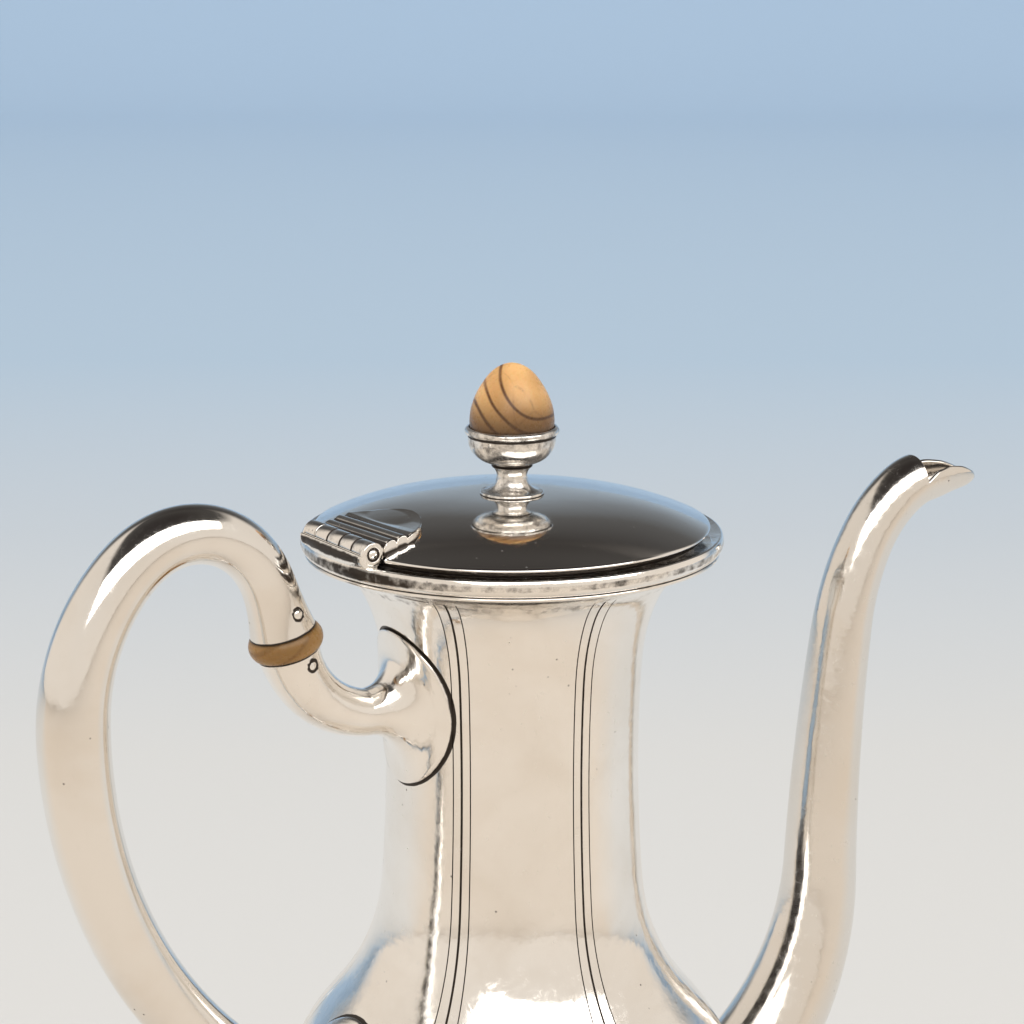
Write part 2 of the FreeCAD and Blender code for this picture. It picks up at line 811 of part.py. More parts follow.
def webs():
    """Blocks that tie the moving knuckles to the flap."""
    low = measure("lid_leaf_bottom")
    tall = measure("lid_leaf_start_height") - low
    deep = measure("hinge_offset - lid_leaf_start")
    blocks = []
    for number in moving_places:
        start = number * KNUCKLE_PITCH - measure("barrel_length") / 2 + half_gap
        blocks.append(Part.makeBox(deep, KNUCKLE_PITCH - 2 * half_gap, tall, Vector(HINGE_X, start, low)))
    return feature("webs", Part.makeCompound(blocks))


def reeds():
    """Half-round reeds along the flap, parallel to the barrel."""
    rods = []
    long = measure("lid_leaf_half_width") * 2
    rise = measure("lid_leaf_tip_height - lid_leaf_start_height") / measure("lid_leaf_start - lid_leaf_tip")
    for number in range(REEDS):
        x = -measure("reed_first") + number * measure("reed_pitch")
        z = measure("lid_leaf_start_height") + rise * (x + measure("lid_leaf_start"))
        rods.append(Part.makeCylinder(measure("reed_radius"), long, Vector(x, -long / 2, z),
                                      Vector(0, 1, 0)))
    return feature("reeds", Part.makeCompound(rods))


lid_leaf_blank = fuse("lid_leaf_blank", flap, moving_knuckles, webs(), reeds())
lid_hinge_leaf = cut("lid_hinge_leaf", lid_leaf_blank, pin_clearance, lid_solid)

# ---------------------------------------------------------------- finial

stem_blank = (
    Outline("stem_blank")
    .start("0", "stem_recess")
    .line("stem_foot_inner", "stem_recess")
    .line("stem_foot_inner", "stem_bottom")
    .line("stem_foot_radius", "stem_bottom")
    .line("stem_foot_radius", "stem_foot_edge")
    .arc("stem_waist_radius", "stem_waist_height", "stem_foot_arc", -1)
    .arc("stem_top_radius", "stem_top", "stem_neck_arc", -1)
    .line("0", "stem_top")
    .close()
    .revolve()
)
finial_stem = cut("finial_stem", stem_blank, finial_stud)

cup_blank = (
    Outline("cup_blank")
    .start("0", "stem_top")
    .line("stem_top_radius", "stem_top")
    .arc("cup_side_radius", "cup_side_height", "cup_arc", 1)
    .line("cup_bead_radius", "cup_bead_bottom")
    .arc("cup_bead_radius", "cup_top", "cup_bead_arc", 1)
    .line("cup_mouth_radius", "cup_top")
    .line("cup_floor_radius", "cup_floor")
    .line("0", "cup_floor")
    .close()
    .revolve()
)
finial_cup = cut("finial_cup", cup_blank, finial_stud)

egg_blank = (
    Outline("egg_blank")
    .start("0", "cup_floor")
    .line("egg_floor_radius", "cup_floor")
    .line("egg_side_radius", "cup_top")
    .arc("egg_shoulder_radius", "egg_shoulder_height", "egg_lower_arc", 1)
    .arc("egg_crown_radius", "egg_crown_height", "egg_upper_arc", 1)
    .arc("egg_tip_radius", "egg_top", "egg_crown_arc", 1)
    .line("0", "egg_top")
    .close()
    .revolve()
)
finial_egg = cut("finial_egg", egg_blank, finial_stud)

washer_blank = primitive("Cylinder", "washer_blank", upright(z=measure("washer_bottom")),
                         Radius="washer_radius", Height="washer_height")
finial_washer = cut("finial_washer", washer_blank, finial_stud)
nut_blank = primitive("Prism", "nut_blank", upright(z=measure("washer_bottom - nut_height")),
                      Circumradius="nut_radius", Height="nut_height")
nut_blank.Polygon = 6
finial_nut = cut("finial_nut", nut_blank, finial_stud)

# ---------------------------------------------------------------- handle


def insulator(name, x, z, heading, pins):
    """An ivory band with a long tenon into the handle and a short one into the socket."""
    blank = (
        Outline(f"{name}_blank")
        .start("0", "0 - band_half_height - socket_tenon_length")
        .line("tenon_radius", "0 - band_half_height - socket_tenon_length")
        .line("tenon_radius", "0 - band_half_height")
        .line("band_edge_radius", "0 - band_half_height")
        .arc("band_edge_radius", "band_half_height", "band_arc", 1)
        .line("tenon_radius", "band_half_height")
        .line("tenon_radius", "band_half_height + handle_tenon_length")
        .line("0", "band_half_height + handle_tenon_length")
        .close()
        .revolve()
    )
    blank.Placement = tilted(x, z, heading)
    return cut(name, blank, *pins)


def cross_pin(name, x, z, heading, distance, length):
    """A pin across the tube, along Y, a distance from the middle of an insulator."""
    x, z = step_along(x, z, heading, measure(distance))
    return primitive("Cylinder", name, along_y(x, -measure(length) / 2, z),
                     Radius="cross_pin_radius", Height=length)


def flared_flange(name, bend_body):
    """The trumpet and thin oval flange that spread a socket over the body."""
    x, z = measure(f"{bend_body}_flange_x"), measure(f"{bend_body}_flange_z")
    heading = measure(f"{bend_body}_flange_heading")
    place = tilted(x, z, heading)
    flare = (
        Outline(f"{name}_flare")
        .start("0", "0")
        .line("trumpet_foot_radius", "0")
        .arc(f"{bend_body}_trumpet_radius", "trumpet_length", "trumpet_arc", -1)
        .line("0", "trumpet_length")
        .close()
        .revolve()
    )
    flare.Placement = place
    reach = measure("flange_reach")
    oval = Part.Ellipse(Vector(0, 0, -reach), measure("flange_half_height"), measure("flange_half_width"))
    blank = Part.Face(Part.Wire(oval.toShape())).extrude(Vector(0, 0, 2 * reach))
    blank.Placement = place
    return flare, feature(f"{name}_disc", blank.common(flange_skin.Shape))


def socket(name, x, z, heading, side, pin, band):
    """A bent silver tube from an insulator, the band, down to its flange on the body."""
    start = step_along(x, z, heading, measure("band_half_height"))
    legs = [f"{name}_{leg}" for leg in ("stub", "bend", "root")]
    stations = walk(*start, heading, measure("socket_start_width"), legs)
    skin = feature(f"{name}_skin", tube(stations))
    bore = feature(f"{name}_bore", tube(stations, measure("tube_wall"), measure("wall")))
    blank = fuse(f"{name}_blank", skin, *flared_flange(name, side))
    return cut(name, blank, bore, pin, band, envelope)


upper_ring = (measure("upper_ring_x"), measure("upper_ring_z"))
upper_heading = measure("upper_ring_heading")
half_band = measure("band_half_height")
handle_start = step_along(*upper_ring, upper_heading, half_band)
handle_legs = [f"handle_{leg}" for leg in ("collar", "neck", "arch", "shoulder", "back", "heel")]
handle_stations = walk(*handle_start, upper_heading, measure("handle_start_width"), handle_legs)
heel_x, heel_z, lower_heading, heel_width = handle_stations[-1]
lower_ring = step_along(heel_x, heel_z, lower_heading, half_band)

upper_handle_pin = cross_pin("upper_handle_pin", *upper_ring, upper_heading,
                             "handle_pin_distance", "cross_pin_length")
upper_socket_pin = cross_pin("upper_socket_pin", *upper_ring, upper_heading + 180,
                             "socket_pin_distance", "cross_pin_length")
lower_handle_pin = cross_pin("lower_handle_pin", *lower_ring, lower_heading + 180,
                             "handle_pin_distance", "heel_pin_length")
lower_socket_pin = cross_pin("lower_socket_pin", *lower_ring, lower_heading,
                             "socket_pin_distance", "cross_pin_length")

handle_skin = feature("handle_skin", tube(handle_stations))
handle_bore = feature("handle_bore", tube(handle_stations, measure("tube_wall"), measure("wall")))
handle_tube = cut("handle_tube", handle_skin, handle_bore, upper_handle_pin, lower_handle_pin)
upper_insulator = insulator("upper_insulator", *upper_ring, upper_heading,
                            (upper_handle_pin, upper_socket_pin))
lower_insulator = insulator("lower_insulator", *lower_ring, lower_heading + 180,
                            (lower_handle_pin, lower_socket_pin))
upper_socket = socket("upper_socket", *upper_ring, upper_heading + 180, "upper",
                      upper_socket_pin, upper_insulator)
lower_socket = socket("lower_socket", *lower_ring, lower_heading, "lower",
                      lower_socket_pin, lower_insulator)

# ---------------------------------------------------------------- spout


def spout_stations():
    """The spout's path from inside the belly to the tip of the trough."""
    x, z = measure("spout_start_x"), measure("spout_start_z")
    heading = measure("spout_start_heading")
    x, z = step_along(x, z, heading, -measure("spout_inner_end"))
    stations = [(x, z, heading, measure("spout_inner_width"))]
    legs = [f"spout_{leg}" for leg in ("root", "stem", "bend", "crest")]
    stations += walk(measure("spout_start_x"), measure("spout_start_z"), heading,
                     measure("spout_start_width"), legs)
    for place in ("trough_start", "trough_middle", "trough_beak", "spout_tip"):
        stations.append((measure(place), measure(f"{place}_height"), 0.0, measure(f"{place}_width")))
    return stations


def spout_bore():
    """The spout's inside, thinner than the skin by the wall but never closed at the tip."""
    wall = measure("spout_wall")
    tip = measure("spout_tip_width")
    widths = [(x, z, heading, max(width - 2 * wall, tip / 2)) for x, z, heading, width in spout_stations()]
    return feature("spout_bore", tube(widths, overrun=wall / 2))


spout_skin = feature("spout_skin", tube(spout_stations()))
mouth_opening = (
    Outline("mouth_opening")
    .start("mouth_top", "mouth_clear")
    .line("mouth_top", "mouth_top_height")
    .line("mouth_notch", "mouth_notch_height")
    .line("mouth_crest", "mouth_crest_height")
    .line("spout_tip", "mouth_tip_height")
    .line("spout_tip + spout_tip_width", "mouth_tip_height")
    .line("spout_tip + spout_tip_width", "mouth_clear")
    .close()
    .pad("mouth_width")
)
spout = cut("spout", spout_skin, spout_bore(), mouth_opening, envelope)

# ---------------------------------------------------------------- check and export

PIECES = (
    body_shell, rim_moulding, foot_skirt, foot_moulding, spout,
    handle_tube, upper_socket, lower_socket, upper_insulator, lower_insulator,
    upper_handle_pin, upper_socket_pin, lower_handle_pin, lower_socket_pin,
    rim_hinge_leaf, hinge_pin, lid_hinge_leaf, lid_dome, lid_bezel,
    finial_stem, finial_cup, finial_egg, finial_stud, finial_washer, finial_nut,
)

document.recompute()
for thing in document.Objects:
    if "Invalid" in thing.State or "Error" in thing.State:
        raise RuntimeError(f"{thing.Name} failed: {thing.State}")
for piece in PIECES:
    piece.Label = piece.Name
    if piece.Shape.isNull() or not piece.Shape.isValid() or len(piece.Shape.Solids) != 1:
        raise RuntimeError(f"{piece.Label} is not one valid solid")

os.makedirs("parts", exist_ok=True)
for piece in PIECES:
    piece.Shape.exportStep(f"parts/{piece.Label}.step")
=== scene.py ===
from math import acos, asin, atan, atan2, ceil, cos, degrees, hypot, pi, radians, sin, sqrt, tau

import bmesh
import bpy
import numpy as np
from mathutils import Matrix, Vector

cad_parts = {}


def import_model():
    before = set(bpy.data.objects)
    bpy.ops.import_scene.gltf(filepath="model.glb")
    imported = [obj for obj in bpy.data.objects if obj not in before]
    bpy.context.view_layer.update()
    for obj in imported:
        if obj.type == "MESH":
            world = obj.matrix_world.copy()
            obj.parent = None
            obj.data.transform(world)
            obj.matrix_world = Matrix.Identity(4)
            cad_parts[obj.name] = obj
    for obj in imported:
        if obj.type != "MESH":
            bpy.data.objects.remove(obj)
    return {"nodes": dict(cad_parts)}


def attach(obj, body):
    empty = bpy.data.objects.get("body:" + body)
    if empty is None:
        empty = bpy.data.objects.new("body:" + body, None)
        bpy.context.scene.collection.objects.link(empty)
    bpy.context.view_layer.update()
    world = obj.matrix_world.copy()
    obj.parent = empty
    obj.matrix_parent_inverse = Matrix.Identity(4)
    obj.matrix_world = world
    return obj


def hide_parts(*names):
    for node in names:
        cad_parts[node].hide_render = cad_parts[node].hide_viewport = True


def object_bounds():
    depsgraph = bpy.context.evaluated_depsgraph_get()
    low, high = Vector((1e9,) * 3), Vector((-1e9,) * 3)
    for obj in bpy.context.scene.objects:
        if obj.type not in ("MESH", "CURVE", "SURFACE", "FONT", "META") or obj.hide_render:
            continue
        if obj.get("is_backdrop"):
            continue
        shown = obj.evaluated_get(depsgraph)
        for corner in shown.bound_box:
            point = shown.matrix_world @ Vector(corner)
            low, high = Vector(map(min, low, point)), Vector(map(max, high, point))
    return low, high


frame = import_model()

# A silver coffee pot. Lengths are millimetres in the frame of the CAD model, turned into metres when
# a mesh is made. Only the materials, the floor and the lights are set in metres.
MM = 0.001
CAD_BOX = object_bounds()
SILVER = "polished_silver"
IVORY = "ivory"
FIXINGS = "fixings"
POT = "pot"
LID = "lid"


# ---- outlines

HARD_TURN = 0.3
SOFT_POINTS = 4


def left_of(way):
    """The direction a quarter turn to the left of another."""
    return np.array([-way[1], way[0]])


def around(count):
    """Evenly spaced angles round a circle."""
    return [tau * number / count for number in range(count)]


def boundary(inside, near, far):
    """Where a test stops being true between two numbers, by halving."""
    for _ in range(40):
        middle = (near + far) / 2
        if inside(middle):
            near = middle
        else:
            far = middle
    return near


def bow(start, end, bulge, count=8):
    """Points on the arc from start to end whose middle stands off the chord by bulge, to the left."""
    start, end = np.array(start, float), np.array(end, float)
    chord = end - start
    length = np.linalg.norm(chord)
    left = left_of(chord) / length
    radius = (length ** 2 / 4 + bulge ** 2) / (2 * bulge)
    centre = (start + end) / 2 + left * (bulge - radius)
    first = atan2(*(start - centre)[::-1])
    sweep = -4 * atan(2 * bulge / length)
    points = []
    for number in range(count + 1):
        turn = first + sweep * number / count
        points.append((centre[0] + abs(radius) * cos(turn), centre[1] + abs(radius) * sin(turn)))
    return points


def soften(points, radius):
    """The same outline with each hard corner replaced by a short arc."""
    points = [np.array(point, float) for point in points]
    result = [points[0]]
    for before, corner, after in zip(points, points[1:], points[2:]):
        back, ahead = before - corner, after - corner
        room = min(np.linalg.norm(back), np.linalg.norm(ahead)) / 2
        back, ahead = back / np.linalg.norm(back), ahead / np.linalg.norm(ahead)
        turn = pi - acos(max(-1.0, min(1.0, float(back @ ahead))))
        if turn < HARD_TURN:
            result.append(corner)
            continue
        reach = min(radius, room)
        first, last = corner + back * reach, corner + ahead * reach
        for part in np.linspace(0, 1, SOFT_POINTS):
            result.append((1 - part) ** 2 * first + 2 * part * (1 - part) * corner + part ** 2 * last)
    result.append(points[-1])
    return [tuple(point) for point in result]


def relax(values, rounds):
    """Evens out a run of numbers or points, keeping its two ends."""
    values = np.array(values, float)
    for _ in range(rounds):
        values[1:-1] = values[:-2] / 4 + values[1:-1] / 2 + values[2:] / 4
    return values


def spaced(points, step):
    """The same polyline with points at an even spacing."""
    points = np.array(points, float)
    along = np.concatenate([[0], np.cumsum(np.linalg.norm(np.diff(points, axis=0), axis=1))])
    count = max(2, int(round(along[-1] / step)) + 1)
    places = np.linspace(0, along[-1], count)
    return np.stack([np.interp(places, along, points[:, axis]) for axis in range(points.shape[1])], axis=1)


# ---- meshes

MERGED = 2e-6
SLIVER = 1e-7
TUBE_SEGMENTS = 72


def link(item):
    """Puts an object in the scene."""
    bpy.context.scene.collection.objects.link(item)


def make_object(name, points, faces, **shades):
    """A mesh object with its faces turned outward, and numbers stored at its points by name."""
    mesh = bpy.data.meshes.new(name)
    mesh.from_pydata([tuple(float(value) * MM for value in point) for point in points], [], faces)
    for title, values in shades.items():
        shade = mesh.attributes.new(title, "FLOAT", "POINT")
        shade.data.foreach_set("value", np.array(values, np.float32))
    work = bmesh.new()
    work.from_mesh(mesh)
    bmesh.ops.remove_doubles(work, verts=work.verts, dist=MERGED)
    bmesh.ops.dissolve_degenerate(work, edges=work.edges, dist=SLIVER)
    bmesh.ops.recalc_face_normals(work, faces=work.faces)
    work.to_mesh(mesh)
    work.free()
    piece = bpy.data.objects.new(name, mesh)
    link(piece)
    return piece


def finish_piece(name, points, faces, material, body=POT, slot=SILVER, node=None, sharp=38, **shades):
    """A smooth-shaded piece that rides on a body and stands for a CAD node, by default its namesake."""
    piece = make_object(f"{name}_finish", points, faces, **shades)
    piece.data.shade_smooth()
    piece.data.set_sharp_from_angle(angle=radians(sharp))
    piece.data.materials.append(material)
    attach(piece, body)
    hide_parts(node or name)
    return piece


def grid_faces(rows, columns, loop_columns=True, loop_rows=False, offset=0):
    """Quads between the points of a grid stored row by row."""
    faces = []
    row_count = rows if loop_rows else rows - 1
    column_count = columns if loop_columns else columns - 1
    for row in range(row_count):
        below = (row + 1) % rows
        for column in range(column_count):
            beside = (column + 1) % columns
            faces.append((offset + row * columns + column, offset + row * columns + beside,
                          offset + below * columns + beside, offset + below * columns + column))
    return faces


def peak(value, level, reach):
    """1 at a level, falling to 0 a reach away from it on either side."""
    return max(0.0, 1 - abs(value - level) / reach)


def untarnished(*place):
    return 0.0


def joint_shade(levels, reach, base=0.0):
    """Dark at certain heights, fading within a reach to a base shade."""
    return lambda radius, height, turn: max(base, *(peak(height, level, reach) for level in levels))


class Shells:
    """Grids of points joined into skins and gathered into one piece."""

    def __init__(self):
        self.points, self.faces, self.tarnish = [], [], []

    def grid(self, rows, shade, capped=True, **loops):
        """Adds rows of points joined into a skin, with a face across each end if it is capped."""
        offset = len(self.points)
        columns = len(rows[0])
        for row in rows:
            self.points += row
            self.tarnish += [shade(point) for point in row]
        self.faces += grid_faces(len(rows), columns, offset=offset, **loops)
        if capped:
            last = offset + (len(rows) - 1) * columns
            self.faces.append(tuple(range(offset, offset + columns)))
            self.faces.append(tuple(range(last, last + columns)))

    def turned(self, outline, place, shade, segments=48, closed=False):
        """Adds an outline of (radius, height) points turned about the Z axis of a placement."""
        self.faces += grid_faces(len(outline), segments, loop_rows=closed, offset=len(self.points))
        for radius, height in outline:
            for turn in around(segments):
                point = Vector((radius * cos(turn), radius * sin(turn), height))
                self.points.append(place @ point)
                self.tarnish.append(shade(radius, height, turn))

    def finish(self, name, material, **settings):
        return finish_piece(name, self.points, self.faces, material, tarnish=self.tarnish, **settings)


def lathe(name, outline, material, segments, shade, closed=False, **settings):
    """A piece turned from an outline of (radius, height) points about the pot's own axis."""
    shells = Shells()
    shells.turned(outline, Matrix.Identity(4), shade, segments, closed)
    shells.finish(name, material, **settings)


def walk(start, heading, width, legs, step):
    """Centres and widths along straight and curved legs in the XZ plane.
    A leg is (length or radius, turn in degrees, width at its end)."""
    place = np.array(start, float)
    stations = [(*place, width)]
    for size, turn, end_width in legs:
        length = abs(radians(turn)) * size if turn else size
        count = max(2, ceil(length / step))
        for number in range(1, count + 1):
            middle = radians(heading + turn / count / 2)
            chord = 2 * size * sin(radians(abs(turn)) / count / 2) if turn else length / count
            place = place + chord * np.array([cos(middle), sin(middle)])
            heading += turn / count
            stations.append((*place, width + (end_width - width) * number / count))
        width = end_width
    return np.array(stations), heading


def frames_along(stations):
    """Unit directions along a path of (x, z, width) stations."""
    along = np.gradient(stations[:, :2], axis=0)
    return along / np.linalg.norm(along, axis=1)[:, None]


def ring(centre, along, radius):
    """A round section square to a path that lies in the XZ plane."""
    across = left_of(along)
    points = []
    for turn in around(TUBE_SEGMENTS):
        out = radius * cos(turn)
        points.append((centre[0] + across[0] * out, radius * sin(turn), centre[1] + across[1] * out))
    return points


# ---- body outline

# The body's side is tangent arcs that run up and down from its waist. Each is its radius, the height
# where it ends (none for the floor) and its bend: 1 where the side is hollow, -1 where it is full.
WAIST = (28.4, 148.0)
ARCS_UP = ((302.0, 170.0, 1), (40.0, 185.5, 1), (14.0, 193.0, 1))
ARCS_DOWN = ((396.0, 117.0, 1), (45.0, 90.0, 1), (47.5, 26.0, -1), (16.0, None, -1))
BODY_STEP = 1.1


def body_arcs():
    """The tangent arcs of the body's outline: (centre, radius, bend, away, first tilt, last tilt)."""
    arcs = []
    for away, legs in ((1, ARCS_UP), (-1, ARCS_DOWN)):
        r, z, tilt = *WAIST, 0.0
        for radius, height, bend in legs:
            centre = (r + bend * radius * cos(tilt), z - bend * away * radius * sin(tilt))
            if height is None:
                new_tilt = -pi / 2
                height = centre[1] - radius
            else:
                new_tilt = asin(sin(tilt) + bend * abs(height - z) / radius)
            arcs.append((centre, radius, bend, away, tilt, new_tilt))
            r, z, tilt = centre[0] - bend * radius * cos(new_tilt), height, new_tilt
    return arcs


def body_outline(inset=0.0):
    """Points from the rim down to the edge of the flat floor, on the surface or inset from it."""
    upper, lower = [], []
    for centre, radius, bend, away, first, last in body_arcs():
        size = radius + bend * inset
        side = upper if away > 0 else lower
        count = 1 + max(3, ceil(abs(last - first) * radius / BODY_STEP))
        for tilt in np.linspace(first, last, count):
            out, up = bend * size * cos(tilt), bend * away * size * sin(tilt)
            side.append((centre[0] - out, centre[1] + up))
    return relax(spaced(upper[::-1] + lower, BODY_STEP), 10)


BODY_OUTER = body_outline()


def body_radius(height):
    """The body's outside radius at a height, between the rim and the turn of the base."""
    rising = BODY_OUTER[::-1]
    return np.interp(height, rising[:, 1], rising[:, 0])


# ---- materials

# Where a mix node keeps its two colours and its mixed colour.
MIX_FIRST, MIX_SECOND, MIX_RESULT = 6, 7, 2


class Shader:
    """A node tree being filled; each call adds one node and gives back one of its outputs."""

    def __init__(self, tree):
        tree.nodes.clear()
        self.tree = tree

    def add(self, kind, output=0, inputs=None, **settings):
        node = self.tree.nodes.new(f"ShaderNode{kind}")
        for name, value in settings.items():
            setattr(node, name, value)
        for name, value in (inputs or {}).items():
            if isinstance(value, bpy.types.NodeSocket):
                self.tree.links.new(value, node.inputs[name])
            else:
                node.inputs[name].default_value = value
        return node.outputs[output] if node.outputs else None

    def math(self, operation, first, second=0.0, clamp=False):
        return self.add("Math", 0, {0: first, 1: second}, operation=operation, use_clamp=clamp)

    def plus(self, first, second, clamp=False):
        return self.math("ADD", first, second, clamp)

    def minus(self, first, second):
        return self.math("SUBTRACT", first, second)

    def times(self, first, second):
        return self.math("MULTIPLY", first, second)

    def gap(self, first, second):
        return self.math("ABSOLUTE", self.minus(first, second))

    def vector(self, operation, first, second=(0.0, 0.0, 0.0), output=0):
        return self.add("VectorMath", output, {0: first, 1: second}, operation=operation)

    def axis(self, place, name):
        return self.add("SeparateXYZ", name, {0: place})

    def stored(self, name):
        """A number stored at the mesh's points."""
        return self.add("Attribute", "Fac", attribute_name=name)

    def span(self, value, low, high, to_low=0.0, to_high=1.0):
        """The value's place between low and high, eased, as a number between two others."""
        inputs = {"Value": value, "From Min": low, "From Max": high, "To Min": to_low, "To Max": to_high}
        return self.add("MapRange", inputs=inputs, interpolation_type="SMOOTHSTEP")

    def blend(self, factor, first, second):
        inputs = {0: factor, MIX_FIRST: first, MIX_SECOND: second}
        return self.add("Mix", MIX_RESULT, inputs, data_type="RGBA")

    def ramp(self, factor, stops):
        """A colour that runs through (position, colour) stops."""
        node = self.tree.nodes.new("ShaderNodeValToRGB")
        self.tree.links.new(factor, node.inputs["Fac"])
        points = node.color_ramp.elements
        while len(points) < len(stops):
            points.new(0.5)
        for point, (position, colour) in zip(points, stops):
            point.position = position
            point.color = (*colour, 1.0)
        return node.outputs["Color"]

    def noise(self, place, scale, detail, rough=0.5, distortion=0.0):
        inputs = {"Vector": place, "Scale": scale, "Detail": detail, "Roughness": rough}
        return self.add("TexNoise", inputs={**inputs, "Distortion": distortion})

    def stretch(self, place, scale, turn=(0.0, 0.0, 0.0)):
        return self.add("Mapping", inputs={"Vector": place, "Scale": scale, "Rotation": turn})

    def bump(self, height, depth, normal=None):
        inputs = {"Height": height, "Distance": depth, "Strength": 1.0}
        if normal:
            inputs["Normal"] = normal
        return self.add("Bump", inputs=inputs)

    def surface(self, inputs):
        """Ends the tree in a surface with these inputs."""
        surface = self.add("BsdfPrincipled", inputs=inputs)
        self.add("OutputMaterial", inputs={"Surface": surface})


def new_material(name):
    material = bpy.data.materials.new(name)
    material.use_nodes = True
    shader = Shader(material.node_tree)
    place = shader.add("TexCoord", "Object")
    return material, shader, place


# Scratches run three ways: how the noise is stretched, and how it is turned.
SCRATCH_RUNS = (
    ((900.0, 60.0, 260.0), (0.3, 0.5, 0.2)),
    ((70.0, 800.0, 300.0), (0.7, 0.1, 1.1)),
    ((300.0, 240.0, 40.0), (0.2, 0.9, 0.5)),
)
# A soldered edge is stored as SEAM_ZERO plus the distance from it, and is dark within SEAM_REACH.
SEAM_ZERO = 10.0
SEAM_REACH = 0.8
FILM = (0.79, 0.735, 0.665, 1.0)
SCRATCH = (0.70, 0.66, 0.60, 1.0)
# Near black, for tarnish and for painted shade.
TARNISH_AND_SHADE = (0.035, 0.026, 0.020, 1.0)
GRAIN_DEPTH = 0.0000015
MARK_DEPTH = 0.00001


def silver(name, mottle, haze, film, scratch=0.12, clean=(0.93, 0.91, 0.88, 1.0)):
    """Old hand-worked silver: soft dents, a faint warm film, fine scratches, pits and dark tarnish, which
    in places also carries painted shade.
    """
    material, shader, place = new_material(name)
    cloud = shader.noise(place, 45.0, 4.0, 0.55, 0.4)
    speck = shader.noise(place, 420.0, 4.0, 0.6)
    grain = shader.noise(place, 3200.0, 2.0, 0.6)
    marks = None
    for scale, turn in SCRATCH_RUNS:
        line = shader.noise(shader.stretch(place, scale, turn), 1.6, 1.0, 0.4, 0.2)
        line = shader.span(shader.gap(line, 0.5), 0.0, 0.012, 1.0, 0.0)
        marks = shader.math("MAXIMUM", marks, line) if marks else line
    marks = shader.times(marks, shader.span(speck, 0.42, 0.62, 0.0, scratch))
    cell = shader.add("TexVoronoi", "Distance", {"Vector": place, "Scale": 260.0})
    pits = shader.times(shader.span(cell, 0.03, 0.09, 1.0, 0.0), shader.span(cloud, 0.5, 0.6))

    seam = shader.span(shader.gap(shader.stored("seam"), SEAM_ZERO), 0.1, SEAM_REACH, 0.95, 0.0)
    # The stored values are tarnish, and in places painted shade: under the rim, on the rim's seat under the
    # lid, in the pin recesses and at the hinge flap's foot.
    darkening = shader.math("MAXIMUM", shader.stored("tarnish"), seam)
    broken = shader.plus(shader.times(speck, 0.9), shader.times(cloud, 0.5))
    tarnish = shader.span(shader.minus(shader.times(darkening, 1.9), broken), 0.0, 0.45)
    tarnish = shader.math("MAXIMUM", tarnish, shader.times(pits, 0.8))

    colour = shader.blend(shader.times(shader.span(cloud, 0.35, 0.7), film), clean, FILM)
    colour = shader.blend(shader.times(marks, 0.5), colour, SCRATCH)
    colour = shader.blend(tarnish, colour, TARNISH_AND_SHADE)
    rough = shader.plus(shader.span(speck, 0.3, 0.75, haze * 0.7, haze * 1.5), marks)
    rough = shader.plus(rough, shader.times(tarnish, 0.3), clamp=True)
    normal = shader.bump(cloud, mottle * 12)
    normal = shader.bump(speck, mottle * 0.35, normal)
    normal = shader.bump(grain, GRAIN_DEPTH, normal)
    normal = shader.bump(shader.minus(0.0, shader.plus(marks, pits)), MARK_DEPTH, normal)
    metallic = shader.minus(1.0, shader.times(tarnish, 0.5))
    shader.surface({"Base Color": colour, "Metallic": metallic, "Roughness": rough, "Normal": normal})
    return material


# The colour of the painted shade that darkens an ivory piece toward its bottom.
LOW_PAINTED_SHADE = (0.10, 0.055, 0.028, 1.0)
IVORY_GRIME = (0.05, 0.025, 0.012, 1.0)
CRACK_CELLS = (110.0, 110.0, 60.0)
CRACK_DEPTH = 0.000012


